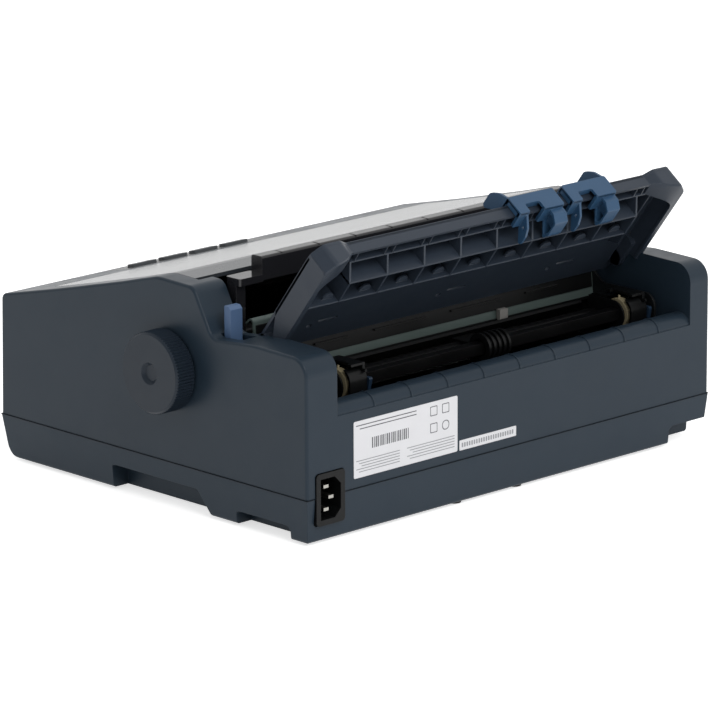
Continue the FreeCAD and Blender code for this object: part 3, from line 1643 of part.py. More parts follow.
def ribbon_cartridge():
    """Wide ribbon case with two arms that carry the ribbon past the platen."""
    left = frame_left + seat_gap
    right = frame_right - seat_gap
    case = prism([(left, ribbon_rear_y, 0), (left, ribbon_front_y, ribbon_rounding),
                  (right, ribbon_front_y, ribbon_rounding), (right, ribbon_rear_y, 0)], "z",
                 ribbon_bottom_z, ribbon_top_z)
    arms = []
    for x in (ribbon_arm_right_x, ribbon_arm_left_x - ribbon_arm_width):
        arms.append(prism([(x, ribbon_rear_y - ribbon_rounding, 0),
                           (x + ribbon_arm_width, ribbon_rear_y - ribbon_rounding, 0),
                           (x + ribbon_arm_width, ribbon_arm_end_y, ribbon_wall),
                           (x, ribbon_arm_end_y, ribbon_wall)], "z", ribbon_arm_bottom_z, ribbon_arm_top_z))
    middle_z = (ribbon_arm_bottom_z + ribbon_arm_top_z) / 2
    band_low = middle_z - ribbon_band_height / 2
    band = block(ribbon_arm_left_x - ribbon_arm_width / 2, ribbon_arm_right_x + ribbon_arm_width / 2,
                 ribbon_band_y - ribbon_band_thickness, ribbon_band_y, band_low,
                 band_low + ribbon_band_height)
    tabs = [block(x, x + ribbon_arm_width / 2, ribbon_arm_end_y - ribbon_wall * 2,
                  ribbon_band_y, band_low, band_low + ribbon_band_height)
            for x in (ribbon_arm_right_x + ribbon_wall, ribbon_arm_left_x - ribbon_arm_width + ribbon_wall)]
    knob_x = right - ribbon_rounding * 4
    knob_y = (ribbon_front_y + ribbon_rear_y) / 2
    lobes = ring_points(ribbon_knob_lobes * 2, (ribbon_knob_radius, ribbon_knob_radius - ribbon_wall / 2))
    knob = prism([(knob_x + a, knob_y + b, 0) for a, b in lobes], "z", ribbon_top_z,
                 ribbon_top_z + ribbon_knob_rise)
    return join([case] + arms + [band] + tabs + [knob])


def thickness_lever():
    outer = frame_left - frame_sheet - thickness_lever_gap
    inner = outer - thickness_lever_sheet
    half = thickness_lever_width / 2
    hub = cylinder("x", rod_y, rod_z, inner, outer, thickness_hub_radius)
    arm = block(inner, outer, rod_y - half, rod_y + half, rod_z, rod_z + thickness_lever_length)
    tab = block(outer - thickness_tab_width, outer, rod_y - half, rod_y + half,
                rod_z + thickness_lever_length - thickness_lever_sheet, rod_z + thickness_lever_length)
    bore = cylinder("x", rod_y, rod_z, inner - overrun, outer + overrun, rod_radius + running_gap)
    return join([hub, arm, tab]).cut(bore)


def inlet_socket_corners(grow):
    left = inlet_left + inlet_rim + grow
    right = inlet_right - inlet_rim - grow
    bottom = inlet_bottom + inlet_rim + grow
    top = inlet_top - inlet_rim - grow
    return sharp(((left + inlet_chamfer, bottom), (right, bottom), (right, top), (left + inlet_chamfer, top),
                  (left, top - inlet_chamfer), (left, bottom + inlet_chamfer)))


def inlet_housing():
    outline = alike(((inlet_left, inlet_bottom), (inlet_right, inlet_bottom), (inlet_right, inlet_top),
                     (inlet_left, inlet_top)), inlet_rounding)
    front = rear_y - inlet_depth + fit_gap
    body = prism(outline, "y", front, rear_y + inlet_proud)
    socket = prism(inlet_socket_corners(0), "y", rear_y + inlet_proud - inlet_socket_depth,
                   rear_y + inlet_proud + overrun)
    slots = []
    for x, z, wide, tall in inlet_pin_places():
        slots.append(block(x - wide / 2, x + wide / 2, front - overrun, rear_y, z - tall / 2, z + tall / 2))
    return body.cut(Part.makeCompound([socket] + slots))


def inlet_pin_places():
    """Middle and size of the three blades: the earth blade lies on the chamfered side."""
    middle_x = (inlet_left + inlet_right) / 2
    middle_z = (inlet_bottom + inlet_top) / 2
    line_x = middle_x + inlet_earth_shift / 2
    return ((line_x, middle_z + inlet_pin_spacing, inlet_pin_width, inlet_pin_sheet),
            (line_x, middle_z - inlet_pin_spacing, inlet_pin_width, inlet_pin_sheet),
            (line_x - inlet_earth_shift, middle_z, inlet_pin_width, inlet_pin_sheet))


def inlet_pins():
    tip = rear_y + inlet_proud - inlet_socket_depth + inlet_pin_length
    tail = rear_y - inlet_depth - inlet_tail_length
    pins = [block(x - wide / 2, x + wide / 2, tail, tip, z - tall / 2, z + tall / 2)
            for x, z, wide, tall in inlet_pin_places()]
    return Part.makeCompound(pins)


def interface_board():
    """Upright board in the left band with its wide parallel connector and its square one."""
    x = -half_width + case_wall + parallel_depth
    lower = port_window_bottom - port_gap / 2
    board = block(x, x + port_board_sheet, port_window_front, port_window_rear, lower,
                  port_window_top + port_gap / 2)
    return join([board, parallel_port(), usb_port()])


def parallel_port():
    y0 = port_window_front + port_gap / 2
    z0 = (port_window_bottom + port_window_top - parallel_height) / 2
    left = -half_width + case_wall
    shell = prism(alike(((y0, z0), (y0 + parallel_length, z0), (y0 + parallel_length, z0 + parallel_height),
                         (y0, z0 + parallel_height)), parallel_rounding), "x", left, left + parallel_depth)
    rim = sheet
    hollow = prism(alike(((y0 + rim, z0 + rim), (y0 + parallel_length - rim, z0 + rim),
                          (y0 + parallel_length - rim, z0 + parallel_height - rim),
                          (y0 + rim, z0 + parallel_height - rim)), parallel_rounding - rim), "x",
                   left - overrun, left + parallel_depth / 2)
    tongue = block(left + fit_gap, left + parallel_depth / 2 + overrun, y0 + rim * 4,
                   y0 + parallel_length - rim * 4, z0 + parallel_height / 2 - rim,
                   z0 + parallel_height / 2 + rim)
    return join([shell.cut(hollow), tongue])


def usb_port():
    y1 = port_window_rear - port_gap / 2
    z0 = (port_window_bottom + port_window_top - usb_size) / 2
    left = -half_width + case_wall
    shell = block(left, left + usb_depth, y1 - usb_size, y1, z0, z0 + usb_size)
    inset = (usb_size - usb_slot) / 2
    hollow = block(left - overrun, left + usb_depth / 2, y1 - usb_size + inset, y1 - inset, z0 + inset,
                   z0 + usb_size - inset)
    return shell.cut(hollow)


def switch_frame():
    y0 = switch_y - switch_length / 2
    y1 = switch_y + switch_length / 2
    z0 = switch_z - switch_height / 2
    z1 = switch_z + switch_height / 2
    outer_x = -half_width + side_taper / 2
    inner_x = outer_x + switch_depth
    gap = fit_gap
    body = block(outer_x, inner_x, y0 + gap, y1 - gap, z0 + gap, z1 - gap)
    rim = switch_rim
    room = block(outer_x - overrun, inner_x - rim, y0 + gap + rim, y1 - gap - rim, z0 + gap + rim,
                 z1 - gap - rim)
    pivot_x = outer_x + rocker_pivot_inset
    holes = cylinder("z", pivot_x, switch_y, z0 - overrun, z1 + overrun, rocker_pin_radius + running_gap)
    return body.cut(room).cut(holes)


def power_rocker():
    """Rocker with a shallow dished face, on a pin across the switch frame."""
    gap = fit_gap
    rim = switch_rim
    half = switch_length / 2 - gap - rim - gap * 3
    outer_x = -half_width + side_taper / 2
    pivot_x = outer_x + rocker_pivot_inset
    face_x = outer_x - fit_gap
    outline = [
        (face_x, switch_y - half, 0),
        (face_x + fit_gap * 2, switch_y, rocker_radius),
        (face_x, switch_y + half, 0),
        (pivot_x, switch_y + half / 2, 0),
        (pivot_x, switch_y - half / 2, 0),
    ]
    z0 = switch_z - switch_height / 2 + gap + rim + gap
    z1 = switch_z + switch_height / 2 - gap - rim - gap
    rocker = prism(outline, "z", z0, z1)
    hub = cylinder("z", pivot_x, switch_y, z0, z1, rocker_pin_radius * 2)
    pin = cylinder("z", pivot_x, switch_y, switch_z - switch_height / 2 + gap,
                   switch_z + switch_height / 2 - gap,
                   rocker_pin_radius)
    return join([rocker, hub, pin])


def board_with_parts(left, right):
    """Circuit board on the shield's posts, with its larger chips."""
    bottom = floor_top + sheet + board_lift
    length = right - left
    depth = board_rear - board_front
    pieces = [block(left, right, board_front, board_rear, bottom, bottom + board_sheet)]
    for x_share, y_share, length_share, depth_share, height in chip_shares:
        x0 = left + length * x_share
        y0 = board_front + depth * y_share
        pieces.append(block(x0, x0 + length * length_share, y0, y0 + depth * depth_share,
                            bottom + board_sheet / 2, bottom + board_sheet + height))
    return join(pieces)


def main_board():
    return board_with_parts(main_board_left, main_board_right)


def power_board():
    """Power supply board with its capacitors and transformer."""
    bottom = floor_top + sheet + board_lift
    plate = block(power_board_left, power_board_right, board_front, board_rear, bottom, bottom + board_sheet)
    parts = [plate]
    for index in range(2):
        y = board_front + capacitor_inset + index * capacitor_inset * 1.5
        parts.append(cylinder("z", power_board_left + capacitor_inset, y, bottom,
                              bottom + board_sheet + capacitor_height, capacitor_radius))
    return join(parts + [transformer()])


def transformer():
    """Laminated core with its coil standing proud on four sides."""
    bottom = floor_top + sheet + board_lift + board_sheet
    x1 = power_board_right - transformer_inset
    x0 = x1 - transformer_length
    y0 = board_front + board_post_inset
    core = block(x0, x1, y0, y0 + transformer_width, bottom, bottom + transformer_height)
    margin = coil_margin
    coil = prism(alike(((x0 + margin, y0 - coil_rise), (x1 - margin, y0 - coil_rise),
                        (x1 - margin, y0 + transformer_width + coil_rise),
                        (x0 + margin, y0 + transformer_width + coil_rise)), coil_rise), "z",
                 bottom + margin, bottom + transformer_height - margin)
    return join([core, coil])


def tension_unit():
    """Smooth bar with feed marks, two flanges and the arms that hold the tension rollers."""
    bar = prism([(bar_front_y, bar_bottom_z, 0), (bar_rear_y, bar_bottom_z, 0),
                 (bar_rear_y, bar_top_z, bar_rounding), (bar_front_y, bar_top_z, bar_rounding)], "x",
                bar_left_x, bar_right_x)
    hollow = block(bar_left_x + bar_sheet, bar_right_x - bar_sheet, bar_front_y + bar_sheet,
                   bar_rear_y - bar_sheet, bar_bottom_z - overrun, bar_top_z - bar_sheet)
    notches = []
    for index in range(int((bar_right_x - bar_left_x - bar_notch_inset) / paper_rib_pitch) + 1):
        x = bar_right_x - bar_notch_inset - paper_rib_pitch * index
        notches.append(block(x - bar_notch_width, x, bar_rear_y - bar_notch_length, bar_rear_y + overrun,
                             bar_top_z - bar_notch_depth, bar_top_z + overrun))
    pieces = [bar.cut(Part.makeCompound([hollow] + notches))]
    roller_y, roller_z = tension_roller_place()
    for inner_x, side, frame_x in ((bar_right_x, 1, frame_right), (bar_left_x, -1, frame_left)):
        ends = sorted((inner_x - side * bar_sheet, inner_x + side * flange_reach))
        pieces.append(prism(alike(((ends[0], flange_front_y), (ends[1], flange_front_y),
                                   (ends[1], bar_rear_y), (ends[0], bar_rear_y)), bar_rounding), "z",
                            flange_top_z - flange_sheet, flange_top_z))
        ends = sorted((frame_x - side * fit_gap * 2, inner_x + side * flange_reach))
        pieces.append(block(ends[0], ends[1], flange_front_y + bar_rounding, bar_rear_y - bar_rounding * 2,
                            frame_top + seat_gap, flange_top_z - flange_sheet / 2))
        ends = sorted((frame_x - side * arm_gap, frame_x - side * (arm_gap + arm_width)))
        reach = tension_shaft_radius * 2
        outline = [
            (roller_y - reach, roller_z - reach, tension_shaft_radius),
            (roller_y + reach, roller_z - reach, tension_shaft_radius),
            (bar_rear_y - bar_rounding * 2, frame_top + seat_gap, 0),
            (bar_rear_y - bar_rounding * 2, flange_top_z - flange_sheet / 2, 0),
            (flange_front_y + bar_rounding, flange_top_z - flange_sheet / 2, 0),
            (flange_front_y + bar_rounding, frame_top + bush_radius, 0),
        ]
        arm = prism(outline, "x", ends[0], ends[1])
        bore = cylinder("x", roller_y, roller_z, ends[0] - overrun, ends[1] + overrun,
                        tension_shaft_radius + running_gap)
        pieces.append(arm.cut(bore))
    return join(pieces)


def tension_roller_place():
    reach = platen_radius + tension_roller_radius + seat_gap
    return turned_place((platen_y, platen_z), reach, math.radians(tension_angle))


def tension_rollers():
    y, z = tension_roller_place()
    pieces = [cylinder("x", y, z, frame_left + arm_gap, frame_right - arm_gap, tension_shaft_radius)]
    pitch = (platen_right - platen_left) / tension_roller_count
    for index in range(tension_roller_count):
        x = platen_left + pitch * (index + 1 / 2)
        pieces.append(cylinder("x", y, z, x - tension_roller_width / 2, x + tension_roller_width / 2,
                               tension_roller_radius))
    return join(pieces)


def release_lever():
    """Lever from its pivot in the right band up to the tab above the case."""
    inner = release_inner_x
    outer = inner + release_sheet
    half = release_width / 2
    middle_y = release_tab_middle_y
    hub = cylinder("x", release_pivot_y, release_pivot_z, inner, outer, release_hub_radius)
    arm = block(inner, outer, middle_y - half, middle_y + half, release_pivot_z, release_tab_bottom_z + half)
    tab = prism([(release_tab_front_y, release_tab_bottom_z, 0),
                 (release_tab_rear_y, release_tab_bottom_z, 0),
                 (release_tab_rear_y, release_tab_top_z - release_tab_chamfer, 0),
                 (release_tab_rear_y - release_tab_chamfer, release_tab_top_z, 0),
                 (release_tab_front_y, release_tab_top_z, 0)], "x", release_tab_inner_x, release_tab_outer_x)
    bore = cylinder("x", release_pivot_y, release_pivot_z, inner - overrun, outer + overrun,
                    release_pin_radius + running_gap)
    return join([hub, arm, tab]).cut(bore)


def guide_axes():
    angle = math.radians(guide_angle)
    return (math.cos(angle), math.sin(angle)), (math.sin(angle), -math.cos(angle))


def guide_hinge_place():
    """Hinge axis of the paper guide, as (y, z), a little below the top of the two bands."""
    y = rear_y - guide_hinge_to_rear
    return y, top_height(y) - guide_hinge_depth


def guide_place(s, n):
    """Place in the side view, as (y, z), of a point up the raised guide and behind its front face."""
    up, behind = guide_axes()
    hinge_y, hinge_z = guide_hinge_place()
    rise = s - guide_hinge_s
    depth = n - guide_hinge_n
    return (hinge_y + up[0] * rise + behind[0] * depth, hinge_z + up[1] * rise + behind[1] * depth)


def guide_side_prism(corners, low, high):
    """Solid whose (s, n, rounding) outline lies in the side view of the guide."""
    placed = []
    for s, n, rounding in corners:
        y, z = guide_place(s, n)
        placed.append((y, z, rounding))
    return prism(placed, "x", low, high)


def guide_face_prism(corners, low, high):
    """Solid whose (x, s, rounding) outline lies in the guide's plate, between two depths."""
    up, behind = guide_axes()

    def place(flat):
        y, z = guide_place(flat.y, low)
        return point(flat.x, y, z)

    face = Part.Face(rounded_wire(corners, place))
    solid = face.extrude(point(0, behind[0], behind[1]) * (high - low))
    if solid.Volume < 0:
        solid.reverse()
    return solid


def guide_box(x0, x1, s0, s1, n0, n1):
    return guide_face_prism(sharp(((x0, s0), (x1, s0), (x1, s1), (x0, s1))), n0, n1)


def guide_outline(inset):
    """Outline of the guide's plate with its two raised top corners."""
    left = guide_left_x + inset
    right = guide_right_x - inset
    top = guide_rail_s - inset
    corner = guide_corner_s - inset
    width = guide_corner_width
    slant = guide_corner_s - guide_corner_start_s
    return [
        (left, guide_bottom_s, 0),
        (right, guide_bottom_s, 0),
        (right, guide_corner_start_s, guide_corner_rounding - inset),
        (right - slant + inset / 2, corner, guide_corner_top_rounding - inset),
        (right - width + guide_shoulder + inset / 2, corner, guide_corner_top_rounding - inset),
        (right - width + inset / 2, top, guide_corner_top_rounding),
        (left + width - inset / 2, top, guide_corner_top_rounding),
        (left + width - guide_shoulder - inset / 2, corner, guide_corner_top_rounding - inset),
        (left + slant - inset / 2, corner, guide_corner_top_rounding - inset),
        (left, guide_corner_start_s, guide_corner_rounding - inset),
    ]


def paper_guide():
    """Folding paper guide: a plate with deep side arms, a top rail and a lattice of slanting ribs."""
    plate = guide_face_prism(guide_outline(0), 0, guide_sheet)
    rim = guide_face_prism(guide_outline(0), 0, guide_depth)
    rim = rim.cut(guide_face_prism(guide_outline(guide_wall), -overrun, guide_depth + overrun))
    inner_right = guide_inner_right
    inner_left = guide_inner_left
    behind_rail = guide_box(inner_left, inner_right, guide_corner_start_s, guide_corner_s + overrun,
                            guide_rail_depth, guide_depth + overrun)
    under_arms = guide_box(guide_left_x - overrun, guide_right_x + overrun, guide_bottom_s - overrun, 0,
                           -overrun, guide_depth + overrun)
    arms = rim.cut(behind_rail).cut(under_arms)
    pieces = [plate, arms]
    heel = [
        (overrun, 0, 0),
        (0, 0, 0),
        (guide_heel_s, guide_heel_n, 0),
        (guide_heel_s + overrun, guide_depth, recess_rounding),
        (overrun, guide_depth, 0),
    ]
    for low, high in ((guide_right_x - guide_wall, guide_right_x), (guide_left_x, guide_left_x + guide_wall)):
        pieces.append(guide_side_prism(heel, low, high))
    pieces.append(guide_box(inner_left, inner_right, guide_rail_s - guide_rail_width, guide_rail_s, 0,
                            guide_rail_depth))
    inner_low = guide_left_x + guide_wall / 2
    inner_high = guide_right_x - guide_wall / 2
    half_rib = guide_rib_width / 2
    pieces.append(guide_box(inner_low, inner_high, guide_upper_rib_s - half_rib, guide_upper_rib_s + half_rib,
                            guide_sheet / 2, guide_rail_depth))
    pieces.append(guide_box(inner_low, inner_high, guide_lower_rib_s - half_rib, guide_lower_rib_s + half_rib,
                            guide_sheet / 2, guide_depth))
    cross = [
        (guide_rail_s - guide_rail_width / 2, guide_sheet / 2, 0),
        (guide_rail_s - guide_rail_width / 2, guide_rail_depth, 0),
        (guide_lower_rib_s + guide_rib_width, guide_rail_depth, 0),
        (guide_lower_rib_s, guide_depth, 0),
        (guide_rib_foot_s, guide_sheet, 0),
        (guide_rib_foot_s, guide_sheet / 2, 0),
    ]
    thin = [
        (guide_rail_s - guide_rail_width / 2, guide_sheet / 2, 0),
        (guide_rail_s - guide_rail_width / 2, guide_rail_depth, 0),
        (guide_upper_rib_s, guide_rail_depth, 0),
        (guide_upper_rib_s, guide_sheet / 2, 0),
    ]
    arch_y, arch_z = guide_place(guide_arch_s, guide_sheet + guide_arch_radius / 2)
    for x in paper_rib_places:
        rib = guide_side_prism(cross, x - half_rib, x + half_rib)
        arch = cylinder("x", arch_y, arch_z, x - half_rib - overrun, x + half_rib + overrun,
                        guide_arch_radius)
        foot = guide_box(x - half_rib - overrun, x + half_rib + overrun, guide_arch_s - guide_arch_radius * 2,
                         guide_arch_s + guide_arch_radius * 2, 0, guide_sheet)
        pieces.append(rib.cut(arch.cut(foot)))
        thin_x = x - guide_thin_rib_gap
        pieces.append(guide_side_prism(thin, thin_x - guide_thin_rib_width / 2,
                                       thin_x + guide_thin_rib_width / 2))
    hinge_y, hinge_z = guide_hinge_place()
    for face_x, side in ((guide_right_x, 1), (guide_left_x, -1)):
        low, high = sorted((face_x, face_x - side * guide_lug_width))
        pieces.append(cylinder("x", hinge_y, hinge_z, low, high, guide_lug_radius))
        low, high = sorted((face_x - side * guide_lug_width, face_x + side * guide_pin_length))
        pieces.append(cylinder("x", hinge_y, hinge_z, low, high, guide_pin_radius))
    whole = join(pieces)
    notches = []
    for share in guide_notch_shares:
        x = guide_left_x + (guide_right_x - guide_left_x) * share
        notches.append(guide_box(x - guide_notch_width / 2, x + guide_notch_width / 2, guide_window_s,
                                 guide_window_s + guide_notch_depth, -overrun, guide_sheet + overrun))
    return whole.cut(Part.makeCompound(notches))


def edge_guide(x, mirrored):
    """Clip that slides on the top rail, with a paper fin in front and a lock box behind."""
    half = edge_guide_width / 2
    right = x + half
    left = x - half
    gap = fit_gap
    rail_back = guide_rail_depth + gap
    outer_n = rail_back + edge_sheet
    top_s = guide_rail_s + gap
    top = guide_box(left, right, top_s, edge_top_s, -edge_sheet - gap, outer_n)
    lightening = guide_box(left + edge_sheet, right - edge_sheet, top_s - overrun, edge_top_s - edge_sheet,
                           -gap, rail_back)
    front = guide_box(left, right, edge_front_hook_s, edge_top_s, -edge_sheet - gap, -gap)
    back = guide_box(left, right, edge_leg_s, edge_top_s, rail_back, outer_n)
    cut_right = right - edge_left_leg
    cut_left = left + edge_right_leg
    opening = guide_face_prism([(cut_left, edge_leg_s - overrun, 0), (cut_right, edge_leg_s - overrun, 0),
                                (cut_right, edge_cut_s, edge_sheet / 2),
                                (cut_left, edge_cut_s, edge_sheet / 2)],
                               rail_back - overrun, outer_n + overrun)
    pieces = [top.cut(lightening), front, back.cut(opening)]
    fin_x = left if mirrored else right - edge_fin_sheet
    fin = [
        (edge_top_s, 0 - gap, 0),
        (edge_fin_top_s, edge_fin_n, edge_sheet),
        (edge_fin_bottom_s, edge_fin_n, edge_sheet),
        (edge_front_hook_s, -gap - edge_sheet / 2, 0),
    ]
    pieces.append(guide_side_prism(fin, fin_x, fin_x + edge_fin_sheet))
    leg_x = right - edge_left_leg
    hook = [
        (edge_cut_s - edge_sheet, rail_back + edge_sheet / 2, 0),
        (edge_leg_s + edge_sheet, edge_hook_tip_n, edge_sheet / 2),
        (edge_hook_tip_s, edge_hook_tip_n - edge_sheet, edge_sheet / 2),
        (edge_hook_tip_s, rail_back + edge_sheet * 2, edge_sheet / 2),
        (edge_leg_s, rail_back, 0),
    ]
    pieces.append(guide_side_prism(hook, leg_x, leg_x + edge_fin_sheet))
    box_left = left
    box_right = left + lock_box_width
    wall = lock_box_wall
    hexagon = lock_box_corners(outer_n, 0)
    shell = guide_side_prism(hexagon, box_left, box_right)
    inner = guide_side_prism(lock_box_corners(outer_n, wall), box_left + wall, box_right - wall)
    mouth = guide_box(box_left + wall, box_right - wall, edge_leg_s - wall, edge_cut_s - edge_sheet * 2,
                      lock_box_n - wall * 2, lock_box_n + overrun)
    thumb = guide_side_prism([
        (edge_cut_s - edge_sheet * 3, outer_n - edge_sheet / 2, 0),
        (edge_leg_s + edge_sheet, lock_box_n - wall, edge_sheet / 4),
        (edge_leg_s - edge_sheet, lock_box_n - wall * 2, edge_sheet / 4),
        (edge_leg_s, outer_n - edge_sheet / 2, 0),
    ], box_left + wall * 3, box_right - wall * 3)
    pieces.append(shell.cut(inner).cut(mouth))
    pieces.append(thumb)
    return join(pieces)


def lock_box_corners(start_n, inset):
    """Six-sided outline of the lock box seen from its side."""
    top = edge_cut_s + edge_sheet / 2 - inset
    bottom = edge_hook_tip_s + inset
    deep = lock_box_n - inset
    middle_n = (start_n + lock_box_n) / 2
    return sharp(((top, start_n - edge_sheet / 2), (top, middle_n), (top - edge_sheet * 2, deep),
                  (bottom + edge_sheet * 2, deep), (bottom, middle_n),
                  (bottom + edge_sheet * 3, start_n - edge_sheet / 2)))


def right_edge_guide():
    return edge_guide(guide_left_x + right_edge_guide_inset, False)


def left_edge_guide():
    return edge_guide(guide_left_x + left_edge_guide_inset, True)


pieces = {
    "lower_case": lower_case(),
    "upper_case": upper_case(),
    "printer_cover": printer_cover(),
    "control_panel": control_panel(),
    "button_board": button_board(),
    "rubber_feet": rubber_feet(),
    "case_screws": case_screws(),
    "base_shield": base_shield(),
    "right_side_frame": right_side_frame(),
    "left_side_frame": left_side_frame(),
    "platen_shaft": platen_shaft(),
    "platen_roller": platen_roller(),
    "platen_knob": platen_knob(),
    "platen_gear": platen_gear(),
    "tractor_gear": tractor_gear(),
    "motor_pinion": motor_pinion(),
    "feed_motor": feed_motor(),
    "tractor_drive_shaft": tractor_drive_shaft(),
    "tractor_guide_shaft": tractor_guide_shaft(),
    "paper_support": paper_support(),
    "platen_rear_plate": platen_rear_plate(),
    "paper_chute": paper_chute(),
    "paper_sensor": paper_sensor(),
    "carriage_rod": carriage_rod(),
    "carriage_rail": carriage_rail(),
    "print_carriage": print_carriage(),
    "print_head": print_head(),
    "drive_pulley": pulley(belt_left_x),
    "tension_pulley": pulley(belt_right_x),
    "carriage_belt": carriage_belt(),
    "carriage_motor": carriage_motor(),
    "ribbon_cartridge": ribbon_cartridge(),
    "thickness_lever": thickness_lever(),
    "inlet_housing": inlet_housing(),
    "inlet_pins": inlet_pins(),
    "interface_board": interface_board(),
    "switch_frame": switch_frame(),
    "power_rocker": power_rocker(),
    "main_board": main_board(),
    "power_board": power_board(),
    "tension_unit": tension_unit(),
    "tension_rollers": tension_rollers(),
    "release_lever": release_lever(),
    "paper_guide": paper_guide(),
    "right_edge_guide": right_edge_guide(),
    "left_edge_guide": left_edge_guide(),
}
for index, side in enumerate(("front", "rear")):
    pieces[side + "_idler_gear"] = idler_gear(index)
for index in range(button_count):
    pieces["button_" + str(index + 1)] = push_button(index)
for side, x in (("right", right_tractor_x), ("left", left_tractor_x)):
    pieces[side + "_tractor"] = tractor_body(x)
    pieces[side + "_tractor_flap"] = tractor_flap(x)
    pieces[side + "_tractor_lock"] = tractor_lock(x)
    pieces[side + "_sprocket"] = tractor_sprocket(x)

whole_box = FreeCAD.BoundBox()
for shape in pieces.values():
    whole_box.add(shape.BoundBox)
shift = point(-whole_box.Center.x, -whole_box.Center.y, -whole_box.ZMin)
os.makedirs("parts", exist_ok=True)
for name, shape in pieces.items():
    shape.translate(shift)
    shape.exportStep("parts/" + name + ".step")
    print(name, "solids", len(shape.Solids), "volume", round(shape.Volume), "valid", shape.isValid())
print("pieces", len(pieces))
print("size", round(whole_box.XLength, 3), round(whole_box.YLength, 3), round(whole_box.ZLength, 3))
print("shift", round(shift.x, 4), round(shift.y, 4), round(shift.z, 4))
print("cover hinge", round(cover_hinge_y, 4), round(cover_hinge_z, 4))
print("guide hinge", round(guide_hinge_place()[0], 4), round(guide_hinge_place()[1], 4))
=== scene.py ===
# %% [markdown]
# # Dot matrix printer
# A desktop dot matrix printer with its paper guide raised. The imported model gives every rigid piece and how
# it moves; this notebook gives each piece its finish, models the ribbed paper guide and its blue clips in
# full, adds the small plates and marks, and sets up the studio. Lengths are in metres unless a name says
# otherwise.

# %% Frame
import math

import bmesh
import bpy
from mathutils import Matrix, Vector


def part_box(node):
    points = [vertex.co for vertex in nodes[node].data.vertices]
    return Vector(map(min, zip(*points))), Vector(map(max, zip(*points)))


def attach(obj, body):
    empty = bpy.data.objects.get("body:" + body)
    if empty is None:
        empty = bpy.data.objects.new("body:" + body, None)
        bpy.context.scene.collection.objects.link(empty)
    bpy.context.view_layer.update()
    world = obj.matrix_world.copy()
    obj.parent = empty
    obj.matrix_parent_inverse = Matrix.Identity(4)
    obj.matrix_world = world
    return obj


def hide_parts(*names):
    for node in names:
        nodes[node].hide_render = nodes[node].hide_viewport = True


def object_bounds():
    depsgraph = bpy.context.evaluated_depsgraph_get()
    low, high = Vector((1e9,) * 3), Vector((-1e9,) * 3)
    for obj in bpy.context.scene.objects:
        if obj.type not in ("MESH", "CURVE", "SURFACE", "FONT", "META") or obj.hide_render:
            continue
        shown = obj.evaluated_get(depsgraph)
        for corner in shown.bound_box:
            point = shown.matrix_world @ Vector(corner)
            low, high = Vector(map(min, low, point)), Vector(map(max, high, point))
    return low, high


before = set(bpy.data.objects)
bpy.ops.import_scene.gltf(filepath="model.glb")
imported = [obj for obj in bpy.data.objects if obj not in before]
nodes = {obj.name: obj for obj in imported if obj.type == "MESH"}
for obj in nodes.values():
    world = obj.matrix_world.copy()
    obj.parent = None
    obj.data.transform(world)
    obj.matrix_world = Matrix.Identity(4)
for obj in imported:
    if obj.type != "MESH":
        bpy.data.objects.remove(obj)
cad_bounds = [list(corner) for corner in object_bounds()]
MM = 0.001
case_low, case_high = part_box("lower_case")
middle_x = (case_low.x + case_high.x) / 2
rear_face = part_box("upper_case")[1].y
print("nodes", len(nodes), "middle", round(middle_x, 4), "rear", round(rear_face, 4))

# %% [markdown]
# ## Small helpers for node trees
# A finish is a chain of nodes. Building each chain by hand is slow to read, so these helpers add a node with
# its settings in one line, and take a plain number or another node's output as an input.

# %% Node helpers
def linear(code):
    """Linear colour of a six digit sRGB code."""
    parts = [int(code[i:i + 2], 16) / 255 for i in (0, 2, 4)]
    return [c / 12.92 if c <= 0.04045 else ((c + 0.055) / 1.055) ** 2.4 for c in parts] + [1.0]


def fill(node, values):
    """Set a node's sockets, or else its properties, by name."""
    for key, value in values.items():
        if key in node.inputs:
            node.inputs[key].default_value = value
        else:
            setattr(node, key, value)
    return node


def add(tree, kind, **values):
    return fill(tree.nodes.new(kind), values)


def feed(tree, socket, value):
    """Give a socket a number, or wire another node's output to it."""
    if isinstance(value, (int, float)):
        socket.default_value = value
    else:
        tree.links.new(value, socket)


def spread(tree, value, low, high, to_low, to_high):
    """Map a value from one range to another."""
    node = add(tree, "ShaderNodeMapRange")
    for key, number in (("From Min", low), ("From Max", high), ("To Min", to_low), ("To Max", to_high)):
        feed(tree, node.inputs[key], number)
    tree.links.new(value, node.inputs["Value"])
    return node.outputs["Result"]


def blend_colour(tree, factor, first, second):
    """Mix two colours; the node repeats its socket names, so they go by place."""
    node = add(tree, "ShaderNodeMix", data_type="RGBA")
    for socket, value in ((0, factor), (6, first), (7, second)):
        tree.links.new(value, node.inputs[socket])
    return node.outputs[2]


def arithmetic(tree, operation, first, second):
    node = add(tree, "ShaderNodeMath", operation=operation)
    feed(tree, node.inputs[0], first)
    feed(tree, node.inputs[1], second)
    return node.outputs["Value"]


print("case grey", [round(part, 4) for part in linear("24303B")])

# %% [markdown]
# ## Moulded surface
# Injection moulded plastic isn't one flat colour. The pigment drifts slowly over a hand's width, the shine
# drifts with it, and spark erosion in the mould leaves a fine even grain. One noise texture at each of these
# scales gives all three, so every plastic, rubber and paint here shares this group with its own values.

# %% Group: moulded surface
def new_group(name, inputs, outputs):
    """Empty shader node group with named sockets; inputs are (name, kind, default)."""
    group = bpy.data.node_groups.new(name, "ShaderNodeTree")
    for label, kind, default in inputs:
        socket = group.interface.new_socket(label, in_out="INPUT", socket_type="NodeSocket" + kind)
        socket.default_value = default
    for label, kind in outputs:
        group.interface.new_socket(label, in_out="OUTPUT", socket_type="NodeSocket" + kind)
    return group, group.nodes.new("NodeGroupInput").outputs, group.nodes.new("NodeGroupOutput").inputs


